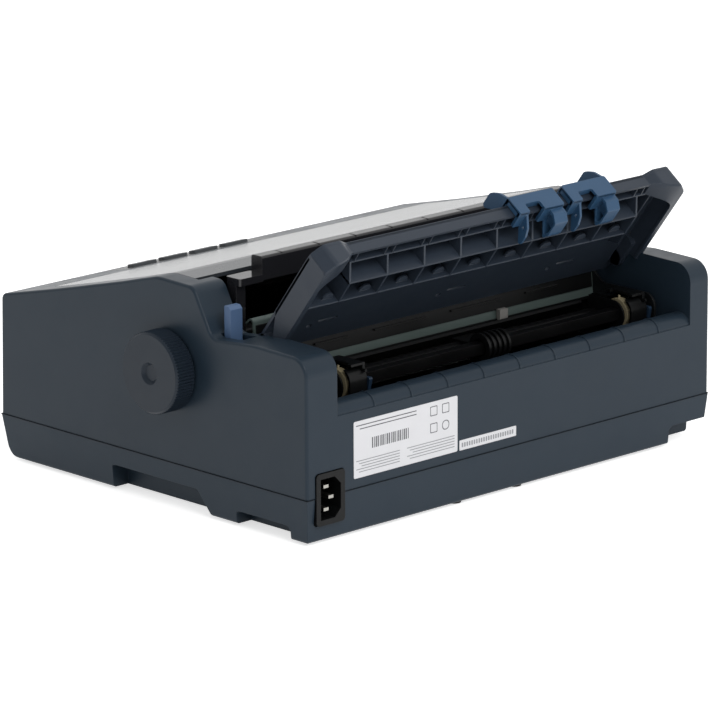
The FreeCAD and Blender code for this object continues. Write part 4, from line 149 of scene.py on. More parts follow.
def noise(tree, coordinate, scale, detail, roughness):
    texture = add(tree, "ShaderNodeTexNoise", Detail=detail, Roughness=roughness)
    tree.links.new(coordinate, texture.inputs["Vector"])
    feed(tree, texture.inputs["Scale"], scale)
    return texture.outputs["Fac"]


grey = (0.1, 0.1, 0.1, 1.0)
surface_group, given, made = new_group(
    "moulded surface",
    [("Color", "Color", grey), ("Drift Color", "Color", grey), ("Drift", "Float", 0.5),
     ("Drift Scale", "Float", 26.0), ("Shine Low", "Float", 0.35), ("Shine High", "Float", 0.47),
     ("Grain Scale", "Float", 2600.0), ("Stretch", "Vector", (1.0, 1.0, 1.0))],
    [("Color", "Color"), ("Roughness", "Float"), ("Height", "Float")])
tree = surface_group
shine_scale, shine_band, drift_band = 55.0, (0.3, 0.7), (0.35, 0.7)
place = add(tree, "ShaderNodeTexCoord").outputs["Object"]
drift = spread(tree, noise(tree, place, given["Drift Scale"], 4.0, 0.6), *drift_band, 0.0, given["Drift"])
tree.links.new(blend_colour(tree, drift, given["Color"], given["Drift Color"]), made["Color"])
shine = spread(tree, noise(tree, place, shine_scale, 3.0, 0.6), *shine_band, given["Shine Low"],
               given["Shine High"])
tree.links.new(shine, made["Roughness"])
stretched = add(tree, "ShaderNodeVectorMath", operation="MULTIPLY")
tree.links.new(place, stretched.inputs[0])
tree.links.new(given["Stretch"], stretched.inputs[1])
tree.links.new(noise(tree, stretched.outputs["Vector"], given["Grain Scale"], 2.0, 0.55), made["Height"])
print(surface_group.name, len(tree.nodes), "nodes")

# %% [markdown]
# ## Worn edges with a painted highlight
# A mould can't have knife edges, and hands polish what sticks out. The Bevel node rounds the shading of
# every edge without touching the mesh, and where its normal leaves the flat one there is an edge, which gets
# a slightly paler colour: partly wear, and partly a painted highlight that lights every edge whatever the
# lamps. A noise breaks it up, because wear is never even.

# %% Group: worn edges with painted highlight
edge_group, given, made = new_group(
    "worn edges with painted highlight",
    [("Color", "Color", grey), ("Worn Highlight Color", "Color", grey), ("Radius", "Float", 0.0005),
     ("Wear And Highlight", "Float", 0.3)],
    [("Color", "Color"), ("Normal", "Vector")])
tree = edge_group
flat_match, edge_match, patch_scale, patch_band = 0.995, 0.80, 90.0, (0.3, 0.75)
bevel = add(tree, "ShaderNodeBevel", samples=4)
tree.links.new(given["Radius"], bevel.inputs["Radius"])
flat = add(tree, "ShaderNodeNewGeometry")
match = add(tree, "ShaderNodeVectorMath", operation="DOT_PRODUCT")
tree.links.new(bevel.outputs["Normal"], match.inputs[0])
tree.links.new(flat.outputs["Normal"], match.inputs[1])
on_edge = spread(tree, match.outputs["Value"], flat_match, edge_match, 0.0, 1.0)
place = add(tree, "ShaderNodeTexCoord").outputs["Object"]
patchy = spread(tree, noise(tree, place, patch_scale, 3.0, 0.5), *patch_band, 0.1, 1.0)
# Edges turn paler here: partly wear, partly a painted highlight along every edge.
worn_and_highlight = arithmetic(tree, "MULTIPLY", arithmetic(tree, "MULTIPLY", on_edge, patchy), given["Wear And Highlight"])
tree.links.new(blend_colour(tree, worn_and_highlight, given["Color"], given["Worn Highlight Color"]), made["Color"])
tree.links.new(bevel.outputs["Normal"], made["Normal"])
print(edge_group.name, len(tree.nodes), "nodes")

# %% [markdown]
# ## Flecks
# Zinc plating, circuit boards and cast metal show small sharp spots of another tone. A noise cut off near
# its top makes separate islands, and the cut-off level says how many there are.

# %% Group: flecks
fleck_group, given, made = new_group(
    "flecks",
    [("Color", "Color", grey), ("Fleck Color", "Color", grey), ("Scale", "Float", 400.0),
     ("Level", "Float", 0.66)],
    [("Color", "Color")])
tree = fleck_group
fleck_softness = 0.03
place = add(tree, "ShaderNodeTexCoord").outputs["Object"]
spots = noise(tree, place, given["Scale"], 1.0, 0.4)
full_at = arithmetic(tree, "ADD", given["Level"], fleck_softness)
cut = spread(tree, spots, given["Level"], full_at, 0.0, 1.0)
tree.links.new(blend_colour(tree, cut, given["Color"], given["Fleck Color"]), made["Color"])
print(fleck_group.name, len(tree.nodes), "nodes")

# %% [markdown]
# ## From groups to a finish
# A finish places the groups in one material: surface, then flecks where it has them, then worn edges, whose
# paler colour is partly a painted highlight. The grain goes through a Bump node on top of the rounded normal.
# Metallic, specular level and coat are the same all over a piece, so they are set on the shader's own
# sockets.

# %% Finish helper
coat_roughness, grain_depth = 0.15, 0.00006
# The second pair makes edges paler: partly wear, partly a painted highlight.
drift_step, worn_highlight_step = (1.2, 0.002), (1.5, 0.012)


def lighter(colour, gain, lift):
    """Paler version of a colour, still within the range."""
    return [min(1.0, part * gain + lift) for part in colour[:3]] + [1.0]


def new_material(name):
    """Material with its node tree and its shader."""
    material = bpy.data.materials.new(name)
    material.use_nodes = True
    return material, material.node_tree, material.node_tree.nodes["Principled BSDF"]


def place_group(tree, group, values):
    return fill(add(tree, "ShaderNodeGroup", node_tree=group), values)


# Its wear setting makes edges paler, which is wear and a painted highlight together.
def finish_of(name, code, rough, drift=None, metal=0.0, mottle=0.5, mottle_scale=26.0, grain=2600.0,
              bump=0.15, wear=0.3, edge=0.0005, stretch=(1.0, 1.0, 1.0), coat=0.0, specular=0.3, shine=0.05,
              fleck=None):
    """Material from the groups; fleck is (colour code, scale, level)."""
    material, tree, shader = new_material(name)
    fill(shader, {"Metallic": metal, "Specular IOR Level": specular})
    if coat:
        fill(shader, {"Coat Weight": coat, "Coat Roughness": coat_roughness})
    base = linear(code)
    surface = place_group(tree, surface_group, {
        "Color": base, "Drift Color": linear(drift) if drift else lighter(base, *drift_step),
        "Drift": mottle, "Drift Scale": mottle_scale, "Shine Low": rough - shine,
        "Shine High": rough + shine, "Grain Scale": grain, "Stretch": stretch})
    colour = surface.outputs["Color"]
    if fleck:
        flecks = place_group(tree, fleck_group,
                             {"Fleck Color": linear(fleck[0]), "Scale": fleck[1], "Level": fleck[2]})
        tree.links.new(colour, flecks.inputs["Color"])
        colour = flecks.outputs["Color"]
    edges = place_group(tree, edge_group,
                        {"Worn Highlight Color": lighter(base, *worn_highlight_step), "Radius": edge, "Wear And Highlight": wear})
    tree.links.new(colour, edges.inputs["Color"])
    tree.links.new(edges.outputs["Color"], shader.inputs["Base Color"])
    tree.links.new(surface.outputs["Roughness"], shader.inputs["Roughness"])
    relief = add(tree, "ShaderNodeBump", Strength=bump, Distance=grain_depth)
    tree.links.new(surface.outputs["Height"], relief.inputs["Height"])
    tree.links.new(edges.outputs["Normal"], relief.inputs["Normal"])
    tree.links.new(relief.outputs["Normal"], shader.inputs["Normal"])
    return material


print("grain depth", grain_depth / MM, "mm")

# %% [markdown]
# ## Plastics
# The case is dark blue-grey ABS with a fine grain and little shine. The cover is smoother and picks up the
# sky at a low angle. The clips and the release lever are blue, so that a user finds what may be touched.

# %% Plastics
dressed = []


def finish(name, pieces, *look, **values):
    """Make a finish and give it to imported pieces, named in one string."""
    material = finish_of(name, *look, **values)
    for piece in pieces.split():
        nodes[piece].data.materials.clear()
        nodes[piece].data.materials.append(material)
        dressed.append(piece)
    return material


finish("case_shell", "upper_case", "24303B", 0.36, "28343F", bump=0.20, wear=0.25, specular=0.20)
finish("base_shell", "lower_case", "27333E", 0.40, "2B3742", bump=0.30, wear=0.26, specular=0.18)
finish("cover_shell", "printer_cover", "363A3F", 0.27, "3A3E43", bump=0.008, mottle=0.2, wear=0.22,
       specular=0.5, coat=0.18, shine=0.006)
finish("knob_shell", "platen_knob", "1F2832", 0.38, "232C36", bump=0.18, wear=0.8, edge=0.00012,
       specular=0.22)
guide_shell = finish("guide_shell", "paper_guide", "2E3641", 0.34, "323A45", bump=0.16, wear=0.6,
                     edge=0.0004, specular=0.26)
blue_clip = finish("blue_clip", "right_edge_guide left_edge_guide thickness_lever", "2F4E6C", 0.36,
                   "345677", bump=0.12, wear=0.55, edge=0.0004)
finish("lever_shell", "release_lever", "50688A", 0.42, "566E90", bump=0.12, wear=0.35, edge=0.0004)
black_shell = finish("black_shell", "right_tractor left_tractor right_tractor_flap left_tractor_flap "
                     "paper_support paper_chute print_carriage inlet_housing switch_frame power_rocker "
                     "tension_rollers", "0A0B0C", 0.42, bump=0.15, wear=0.35, edge=0.0003, specular=0.2)
finish("black_gloss", "tension_unit ribbon_cartridge", "1B1B1E", 0.22, bump=0.05, wear=0.35, coat=0.3,
       edge=0.0004)
finish("panel_shell", "control_panel", "1D2023", 0.34, bump=0.25, grain=3000.0, wear=0.2)
finish("button_cap", "button_1 button_2 button_3 button_4", "4C4F52", 0.38, bump=0.12, edge=0.0004)
finish("gear_white", "platen_gear front_idler_gear rear_idler_gear tractor_gear", "C9C5B8", 0.42,
       "D6D2C6", bump=0.05, wear=0.2, edge=0.00025)
finish("lock_blue", "right_tractor_lock left_tractor_lock", "1E2F42", 0.38, "22344A", bump=0.12,
       wear=0.4, edge=0.0004)
finish("sprocket_beige", "right_sprocket left_sprocket", "8C8268", 0.48, "989078", bump=0.06, wear=0.2,
       edge=0.00025)
finish("sensor_grey", "paper_sensor", "8A8885", 0.50, "94928F", bump=0.08, wear=0.2, edge=0.0003)
print("pieces in plastic", len(dressed))

# %% [markdown]
# ## Rubber and metal
# Rubber is dull with a coarse grain. Turned steel has fine rings round its axis, so its grain is stretched
# along X, and zinc plate shows broad pale crystals. The tractors' shafts are blackened, as the dark well
# shows.

# %% Rubber and metal
turned_rings, rolled_lines = (0.02, 6.0, 6.0), (0.05, 4.0, 4.0)
finish("roller_rubber", "platen_roller", "0B0B0B", 0.58, "101010", bump=0.30, grain=5200.0, wear=0.1)
finish("foot_rubber", "rubber_feet", "141414", 0.70, bump=0.45, grain=2400.0, wear=0.2)
finish("belt_rubber", "carriage_belt", "101010", 0.60, bump=0.4, grain=2800.0, wear=0.2)
finish("turned_steel", "platen_shaft carriage_rod case_screws motor_pinion drive_pulley tension_pulley",
       "9A9C9E", 0.24, "A8AAAC", metal=1.0, bump=0.10, grain=900.0, stretch=turned_rings, wear=0.2,
       edge=0.0003)
finish("blackened_steel", "tractor_drive_shaft tractor_guide_shaft", "0D0D0E", 0.34, metal=0.4, bump=0.10,
       grain=900.0, stretch=turned_rings, wear=0.4, edge=0.0003)
finish("zinc_sheet", "base_shield carriage_rail", "8D9090", 0.38, "9DA09F", metal=1.0, mottle=1.0,
       mottle_scale=140.0, bump=0.06, fleck=("A4A7A6", 220.0, 0.62))
finish("black_sheet", "right_side_frame left_side_frame", "121416", 0.42, "171A1C", wear=0.5)
finish("olive_sheet", "platen_rear_plate", "55625F", 0.40, "5D6A67", bump=0.10, grain=1200.0,
       stretch=rolled_lines)
finish("head_cast", "print_head", "3C3E40", 0.52, metal=0.85, bump=0.35, grain=1800.0, wear=0.5,
       fleck=("55575A", 700.0, 0.64))
finish("motor_case", "feed_motor carriage_motor", "17181A", 0.36, metal=0.3, bump=0.12, wear=0.5)
finish("bright_metal", "inlet_pins", "A3A19B", 0.28, metal=1.0, bump=0.04, wear=0.1, edge=0.0002)
finish("board_green", "main_board interface_board", "123C26", 0.34, "16482D", mottle=1.0,
       mottle_scale=320.0, bump=0.12, grain=1500.0, wear=0.4, fleck=("8C8D80", 520.0, 0.66))
finish("power_green", "power_board", "1B3A22", 0.36, "224A2A", mottle=1.0, mottle_scale=240.0,
       bump=0.12, grain=1500.0, wear=0.4, fleck=("90876A", 400.0, 0.67))
finish("light_board", "button_board", "14402A", 0.30, bump=0.10)
print("pieces in all", len(dressed))

# %% [markdown]
# ## Is every piece dressed?
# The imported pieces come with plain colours, and each finish above names the pieces that wear it. A piece
# that was forgotten would keep its plain colour unseen, so it stops the script here.

# %% Check
unfinished = sorted(set(nodes) - set(dressed))
if unfinished:
    raise SystemExit("no finish for " + ", ".join(unfinished))
print("pieces with a finish", len(dressed), "of", len(nodes))

# %% [markdown]
# ## Building meshes
# New pieces are made from outlines: a list of corners, some of them rounded, becomes a loop of points, and
# loops with walls between them become a closed solid. Holes are loops inside the outline, filled together.
# Booleans would do it too, but loops give clean faces.

# %% Mesh helpers
def rounded(corners, steps=5):
    """Loop of flat points from (a, b, radius) corners."""
    loop = []
    for index, (a, b, radius) in enumerate(corners):
        here = Vector((a, b))
        if not radius:
            loop.append(here)
            continue
        before = (Vector(corners[index - 1][:2]) - here).normalized()
        after = (Vector(corners[(index + 1) % len(corners)][:2]) - here).normalized()
        half = before.angle(after) / 2
        centre = here + (before + after).normalized() * radius / math.sin(half)
        start = here + before * radius / math.tan(half) - centre
        turn = start.angle_signed(here + after * radius / math.tan(half) - centre)
        for step in range(steps + 1):
            angle = -turn * step / steps
            loop.append(centre + Vector((start.x * math.cos(angle) - start.y * math.sin(angle),
                                         start.x * math.sin(angle) + start.y * math.cos(angle))))
    return loop


def circle(radius, count=28):
    """Flat points of a circle round zero."""
    return [(radius * math.cos(2 * math.pi * i / count), radius * math.sin(2 * math.pi * i / count))
            for i in range(count)]


def walls(shape, first, second):
    """Faces between two rings with the same number of points."""
    for index in range(len(first)):
        after = (index + 1) % len(first)
        shape.faces.new((first[index], first[after], second[after], second[index]))


def solid(shape, *loops):
    """Closed solid through two or more loops of points in space."""
    rings = [[shape.verts.new(point) for point in loop] for loop in loops]
    shape.faces.new(rings[0])
    shape.faces.new(rings[-1])
    for first, second in zip(rings, rings[1:]):
        walls(shape, first, second)


print("circle points", len(circle(1.0)))

# %% [markdown]
# ## From a mesh to a piece
# Flat faces stay flat and curved ones are shaded smooth, split by the angle between them. A moulded edge is
# never sharp, so moulded pieces get a small Bevel modifier, and plates and marks don't. Each piece rides on
# its body, so that it moves with the joint.

# %% Piece helper
smooth_below, bevel_above = math.radians(35), math.radians(50)


def new_object(name, data):
    """Object in the scene that shows the data."""
    item = bpy.data.objects.new(name, data)
    bpy.context.scene.collection.objects.link(item)
    return item


def mesh_piece(name, build, material, body, bevel_mm=0.0):
    """Object whose mesh the build function draws."""
    mesh = bpy.data.meshes.new(name)
    shape = bmesh.new()
    build(shape)
    bmesh.ops.recalc_face_normals(shape, faces=shape.faces)
    shape.to_mesh(mesh)
    shape.free()
    mesh.shade_smooth()
    mesh.set_sharp_from_angle(angle=smooth_below)
    piece = new_object(name, mesh)
    mesh.materials.append(material)
    if bevel_mm:
        rounding = piece.modifiers.new("rounding", "BEVEL")
        rounding.width = bevel_mm * MM
        rounding.segments = 2
        rounding.limit_method = "ANGLE"
        rounding.angle_limit = bevel_above
        rounding.use_clamp_overlap = True
    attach(piece, body)
    print(name, len(mesh.polygons), "faces")
    return piece

# %% [markdown]
# ## The guide's own directions
# The raised guide leans back, so its pieces are easier to draw in its own directions: x across, s up the
# plate and n behind its front face, in millimetres. One function turns them into a place in the frame.

# %% Guide directions
hinge_y, hinge_z = 75.7726, 109.8146
hinge_s, hinge_n = -24.0, 4.0
lean = math.radians(52.64)


def on_guide(x, s, n):
    """Place in the frame of a point of the raised guide."""
    rise, depth = s - hinge_s, n - hinge_n
    return Vector((middle_x + x * MM,
                   (hinge_y + math.cos(lean) * rise + math.sin(lean) * depth) * MM,
                   (hinge_z + math.sin(lean) * rise - math.cos(lean) * depth) * MM))


def side_loop(x, loop):
    """Flat (s, n) loop placed at x."""
    return [on_guide(x, s, n) for s, n in loop]


def side_solid(shape, corners, x0, x1, steps=4):
    """Outline in (s, n, radius), from x0 to x1."""
    loop = rounded(corners, steps)
    solid(shape, side_loop(x0, loop), side_loop(x1, loop))


def face_solid(shape, corners, n0, n1, steps=4):
    """Outline in (x, s, radius), from depth n0 to n1."""
    loop = rounded(corners, steps)
    solid(shape, [on_guide(x, s, n0) for x, s in loop], [on_guide(x, s, n1) for x, s in loop])


def quad(a0, a1, b0, b1, low=0, high=0):
    """Corners of a rectangle; low and high are the radii at b0 and at b1."""
    return [(a0, b0, low), (a1, b0, low), (a1, b1, high), (a0, b1, high)]


def box_solid(shape, x0, x1, s0, s1, n0, n1):
    face_solid(shape, quad(x0, x1, s0, s1), n0, n1)


print("lean", round(math.degrees(lean), 1), "degrees")

# %% [markdown]
# ## Paper guide
# The guide is one moulding: a thin plate, deep walls down both arms, a rail along the top, and a lattice
# that keeps the plate flat. Three shelves run across, upright ribs stand between the upper two, lean ones
# below them, and pairs of thin ribs tie the top shelf to the rail. Loops and walls follow that build-up
# directly, because each wall is an outline pushed to its own depth.

# %% Paper guide sizes
guide_left, guide_right = -158.5, 151.0
plate_sheet, guide_depth, rail_depth = 2.0, 16.5, 8.5
plate_foot, rail_top, rail_sheet = -37.0, 53.0, 1.8
corner_top, corner_side, corner_width, shoulder = 56.5, 49.5, 27.0, 6.5
side_wall, arm_rim, rim_sheet, web_sheet = 2.5, 4.0, 1.6, 1.5
shelf_a, shelf_a_depth, shelf_b, shelf_c, rib_sheet = 44.4, 9.0, 34.0, 18.0, 1.4
rib_count, rib_pitch, first_rib_inset = 9, 30.8, 2.2
lug_width, lug_radius, pin_radius, pin_length = 6.0, 5.5, 3.0, 4.0
first_rib = guide_right - corner_width - first_rib_inset
rib_places = [first_rib - rib_pitch * index for index in range(rib_count)]
print("guide ribs at", [round(x, 1) for x in rib_places])

# %% [markdown]
# ## The guide's plate
# The plate has clipped top corners and three pairs of slots near its foot. One outline with its slots as
# inner loops is filled in a single step, which leaves true openings without a boolean.

# %% Paper guide plate
def holed_solid(shape, loops, step):
    """Flat sheet: its outline, then its holes; step is the vector across its thickness."""
    edges, rings = [], []
    for loop in loops:
        ring = [shape.verts.new(point) for point in loop]
        for index in range(len(ring)):
            edges.append(shape.edges.new((ring[index], ring[(index + 1) % len(ring)])))
        rings.append(ring)
    filled = bmesh.ops.triangle_fill(shape, use_beauty=True, use_dissolve=False, edges=edges)
    faces = [item for item in filled["geom"] if isinstance(item, bmesh.types.BMFace)]
    copy = {vert: shape.verts.new(vert.co + step) for ring in rings for vert in ring}
    for face in faces:
        shape.faces.new([copy[vert] for vert in face.verts])
    for ring in rings:
        walls(shape, ring, [copy[vert] for vert in ring])


def plate_corners():
    slant = corner_top - corner_side
    left, right = guide_left, guide_right
    return [(left, plate_foot, 0), (right, plate_foot, 0), (right, corner_side, 6),
            (right - slant, corner_top, 5), (right - corner_width + shoulder, corner_top, 4),
            (right - corner_width, rail_top, 4), (left + corner_width, rail_top, 4),
            (left + corner_width - shoulder, corner_top, 4), (left + slant, corner_top, 5),
            (left, corner_side, 6)]


slot_shares = (0.168, 0.479, 0.831)
slot_sizes = ((-8, 8, -19.5, -18.0), (12, 16, -23.0, -20.5))
slot_rounding = 0.5


def guide_plate(shape):
    """Thin plate with a long and a short slot at three places."""
    outline = [on_guide(x, s, 0) for x, s in rounded(plate_corners())]
    slots = []
    for share in slot_shares:
        middle = guide_left + (guide_right - guide_left) * share
        for x0, x1, s0, s1 in slot_sizes:
            corners = quad(middle + x0, middle + x1, s0, s1, slot_rounding, slot_rounding)
            slots.append([on_guide(x, s, 0) for x, s in rounded(corners, 2)])
    holed_solid(shape, [outline] + slots, on_guide(0, 0, plate_sheet) - on_guide(0, 0, 0))


print("slots", len(slot_shares) * len(slot_sizes))

# %% [markdown]
# ## The guide's corners and arms
# Where an arm meets the rail, the real guide has a curved web, deep at the arm and shallow at the rail. A
# quarter of an ellipse gives its lower edge. No box could follow that, so the web is a row of cross sections
# joined into one solid.

# %% Paper guide corners and arms
web_steps, web_start, web_below, web_least = 22, 0.4, 0.1, 0.2
web_crown, web_flat, web_fall, web_foot = 0.12, 1.0, 0.8, 0.5
rim_inset, rim_sunk, rim_foot, rim_head = 0.3, 0.01, -13.0, 36.0


def web_edge(x):
    """Lower edge of the corner web, as (s, n), at a distance x in from the arm's outer face."""
    reach = min(1.0, max(0.0, (corner_width - x) / (corner_width - arm_rim)))
    s = shelf_b + (shelf_a - shelf_b) * math.sqrt(1 - reach ** 2)
    n = rail_depth + (guide_depth - rail_depth) * (1 - (1 - reach) ** 2)
    return s, n


def top_edge(x):
    """Top edge of the plate at the same distance."""
    if x < corner_top - corner_side:
        return corner_side + x
    if x < corner_width - shoulder:
        return corner_top
    return corner_top - (corner_top - rail_top) * (x - corner_width + shoulder) / shoulder


def corner_web(shape, outer, side):
    """Curved web that closes the corner between the arm and the top rail."""
    rows = []
    for step in range(web_steps + 1):
        x = web_start + (corner_width - web_start) * step / web_steps
        s, n = web_edge(x)
        top = max(top_edge(x) - web_below, s + web_least)
        rows.append(side_loop(outer - side * x, [
            (s, n - web_sheet), (s, n), ((s + top) / 2, n + web_crown), (top - web_flat, n),
            (top, n - web_fall), (top, web_foot), (top - web_sheet, web_foot),
            (top - web_sheet, n - web_sheet)]))
    solid(shape, *rows)


def guide_arm(shape, outer, side):
    """Deep wall down the arm, and the wider rim along its rear edge."""
    x0, x1 = sorted((outer, outer - side * side_wall))
    side_solid(shape, [(0, 0.5, 0), (-15, 8.5, 1), (-14, guide_depth, 2), (corner_side, guide_depth, 2.5),
                       (corner_side, 0.5, 0)], x0, x1)
    x0, x1 = sorted((outer - side * rim_inset, outer - side * arm_rim))
    box_solid(shape, x0, x1, rim_foot, rim_head, guide_depth - rim_sheet, guide_depth - rim_sunk)


def guide_hinge(shape, outer, side):
    """Lug on the arm's inner side and pin through its outer one, on the hinge line."""
    lug_end = outer - side * lug_width
    for near, far, radius in ((outer, lug_end, lug_radius), (lug_end, outer + side * pin_length, pin_radius)):
        x0, x1 = sorted((near, far))
        ring = [(hinge_s + along, hinge_n + across) for along, across in circle(radius)]
        solid(shape, side_loop(x0, ring), side_loop(x1, ring))


print("corner web depths", web_edge(0)[1], web_edge(corner_width)[1])

# %% [markdown]
# ## The guide's lattice
# The shelves and ribs are thin walls on the back of the plate. Each rib is one outline that follows the
# shelves' depths, so it can't stand proud of them, and one loop makes them all.

# %% Paper guide lattice
tie_offset, tie_half = 3.3, 0.4
tab_start, tab_end, tab_top, tab_rounding = 3, 12, shelf_c + 5.2, 4
tab_near, tab_far = 11.6, 13.0
far_end = guide_left + 20.5


def guide_shelves(shape, low, high):
    """Top rail and the three shelves, given the outermost ribs' outer faces."""
    half = rib_sheet / 2
    box_solid(shape, guide_left + corner_width - 1, guide_right - corner_width + 1, rail_top - rail_sheet,
              rail_top, 0.5, rail_depth)
    for x0, x1, s, depth in ((far_end, high, shelf_a, shelf_a_depth), (low, high, shelf_b, guide_depth),
                             (low, guide_right - 2, shelf_c, guide_depth)):
        side_solid(shape, quad(s - half, s + half, 1, depth, 0, 0.5), x0, x1, 3)


def guide_lattice(shape):
    half = rib_sheet / 2
    guide_shelves(shape, rib_places[-1] - half, rib_places[0] + half)
    rib = [(shelf_a, 1, 0), (shelf_a, shelf_a_depth, 0), (shelf_b, guide_depth, 0), (shelf_c, guide_depth, 0),
           (shelf_c, 1, 0)]
    tie = [(rail_top - 1, 1, 0), (rail_top - 1, rail_depth, 0), (shelf_a, shelf_a_depth, 0), (shelf_a, 1, 0)]
    for x in rib_places:
        side_solid(shape, rib, x - half, x + half)
        for offset in (-tie_offset, tie_offset):
            side_solid(shape, tie, x + offset - tie_half, x + offset + tie_half)
        tab = quad(x + tab_start, x + tab_end, shelf_c, tab_top, 0, tab_rounding)
        face_solid(shape, tab, tab_near, tab_far, 6)
    side_solid(shape, [(shelf_a, 1, 0), (shelf_a, shelf_a_depth, 0), (-2, shelf_a_depth, 0), (-8, 1, 0)],
               far_end - 0.5, far_end + 0.5)


def guide_bracket(shape):
    """Bracket beside the far hinge, which closes the gap under the arm."""
    side_solid(shape, [(hinge_s, 1, 0), (-5, 1, 0), (-5, 9.5, 2), (hinge_s - 2, 9.5, 2),
                       (hinge_s - 5.5, 4, 2)], guide_left, guide_left + lug_width)


def paper_guide(shape):
    guide_plate(shape)
    for outer, side in ((guide_right, 1), (guide_left, -1)):
        corner_web(shape, outer, side)
        guide_arm(shape, outer, side)
        guide_hinge(shape, outer, side)
    guide_lattice(shape)
    guide_bracket(shape)


guide_piece = mesh_piece("guide_moulding", paper_guide, guide_shell, "paper_guide", 0.15)
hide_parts("paper_guide")

# %% [markdown]
# ## Edge guides
# Two blue clips ride on the rail. Each has a top plate notched in the middle, a fin in front that steers the
# paper's edge, a curved hook that keeps it on the rail, and a six-sided box, open on one side, round its
# lock. The holes are loops inside the outlines, and a small bevel gives the moulded edges their light line.

# %% Edge guide sizes
clip_half, blade, top_sheet = 19.1, 1.8, 1.8
clip_top, clip_front, front_sheet = 58, -2.35, 2.0
notch_back, leg_back, leg_face = 5, 9.35, 11.35
blade_foot, blade_top, blade_front = 53.4, 57, -1.5
bridge_near, bridge_far = 3.4, 4.8
hook_width, lock_width, leg_foot, front_foot = 8.5, 17.0, 45.4, 46.8
fin = [(57.6, -1.2, 0), (54.2, -9.5, 7), (49.0, -15, 4), (36, -15, 2), (46.8, -1.2, 0)]
hook = [(56, 10.3, 0), (48.5, 17.0, 2.5), (43, 18.8, 2.0), (36.2, 18.6, 1.6), (35.9, 16.6, 0.8),
        (45.8, 10.0, 0.5)]
hole_s, hole_n, hole_radius = 46.6, 14.2, 1.1
print("clip width", 2 * clip_half, "mm")

# %% [markdown]
# ## The body of a clip
# Each wall of a clip is an outline given a thickness: the notched top, the side blades, the front, two legs
# behind the rail, the fin and the hook. Both clips share one function, and only the fin changes ends.

# %% Edge guide clip
def edge_clip(shape, centre, fin_low):
    """Whole clip round its middle; fin_low puts the fin at the low end of x."""
    left, right = centre - clip_half, centre + clip_half
    hook_x, lock_x = right - hook_width, left + lock_width
    loop = rounded([(left, clip_front, 1.2), (right, clip_front, 1.2), (right, leg_face, 1.0),
                    (hook_x, leg_face, 1.0), (hook_x, notch_back, 1.2), (lock_x, notch_back, 1.2),
                    (lock_x, leg_face, 1.0), (left, leg_face, 1.0)])
    solid(shape, [on_guide(x, clip_top - top_sheet, n) for x, n in loop],
          [on_guide(x, clip_top, n) for x, n in loop])
    for x0, x1 in ((left, left + blade), (right - blade, right)):
        box_solid(shape, x0, x1, blade_foot, blade_top, blade_front, leg_face - 0.5)
    box_solid(shape, lock_x - 0.5, hook_x + 0.5, blade_foot, blade_top, bridge_near, bridge_far)
    face_solid(shape, quad(left, right, front_foot, blade_top, 1.5), clip_front, clip_front + front_sheet)
    for x0, x1 in ((hook_x, right), (left, lock_x)):
        face_solid(shape, quad(x0, x1, leg_foot, blade_top, 1), leg_back, leg_face)
    fin_x = left if fin_low else right - blade
    side_solid(shape, fin, fin_x, fin_x + blade, 6)
    hook_hole = [(hole_s + along, hole_n + across)
                 for along, across in circle(hole_radius, 14)]
    holed_solid(shape, [side_loop(hook_x, loop) for loop in (rounded(hook), hook_hole)],
                Vector((blade * MM, 0, 0)))
    lock_box(shape, left)


print("fin from s", fin[0][0], "to", fin[3][0])

# %% [markdown]
# ## The clip's lock box
# The box is one six-sided outline twice: full, as its back wall, and as a ring whose opening is the outline
# drawn in towards its middle. Two small blocks inside are the lever and its thumb piece.

# %% Lock box and both clips
box_rim = [(55.0, 10.3, 0.6), (55.0, 15.2, 1.0), (51.3, 20.0, 1.6), (41.0, 20.0, 1.6), (35.9, 17.6, 1.0),
           (45.5, 10.3, 0.6)]
middle_s, middle_n, opening_share = 46.8, 15.2, 0.76
box_back, ring_start, ring_width = 1.6, 1.5, 9.5
lock_lever = [(50.6, 11.0, 0.5), (51.2, 16.4, 0.8), (43.4, 17.0, 0.8), (44.6, 11.5, 0.5)]
thumb_piece = [(49.4, 16.0, 0.5), (49.6, 18.4, 0.6), (44.8, 18.6, 0.6), (44.6, 16.2, 0.5)]


def lock_box(shape, left):
    """Six-sided box round the lock, open towards +x."""
    outline = rounded(box_rim)
    side_solid(shape, box_rim, left, left + box_back, 5)
    opening = [(middle_s + (s - middle_s) * opening_share,
                middle_n + (n - middle_n) * opening_share) for s, n in outline]
    holed_solid(shape, [side_loop(left + ring_start, loop) for loop in (outline, opening)],
                Vector((ring_width * MM, 0, 0)))
    side_solid(shape, lock_lever, left + 1.0, left + 7.4)
    side_solid(shape, thumb_piece, left + 5.0, left + 8.6)


for name, centre, fin_low in (("right_edge_guide", -30.5, False), ("left_edge_guide", -76.7, True)):
    clip = mesh_piece(name + "_clip", lambda shape: edge_clip(shape, centre, fin_low), blue_clip, name,
                      0.22)
    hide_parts(name)

# %% [markdown]
# ## Black plate behind the platen
# Under the raised guide the olive plate only shows as a narrow strip. A black moulded plate covers the rest,
# with short ledges that carry the paper's edge. It follows the olive plate's slope a fraction of a
# millimetre behind it, so it is a tilted sheet with ledges added to the same mesh.

# %% Black plate
olive_low, olive_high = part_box("platen_rear_plate")
olive_slope, olive_foot = -2.96 / 34.9, 82.05
plate_near, plate_far, plate_inset = 0.15, 1.1, 1.5
plate_bands = ((89.4, 115.5), (82.3, 84.0))
ledges = ((68, 96), (2, 46), (-64, -20), (-114, -86))
ledge_low, ledge_high, ledge_reach = 95.4, 96.6, 2.6


def behind_olive(x, z, out):
    """Point behind the olive plate at a height z and a distance out from its face, in millimetres."""
    return Vector((x, olive_high.y + (olive_slope * (z - olive_foot) + out) * MM, z * MM))


def tilted_box(shape, x0, x1, z0, z1, out0, out1):
    solid(shape, *([behind_olive(x, z, out) for x, z, _ in quad(x0, x1, z0, z1)] for out in (out0, out1)))


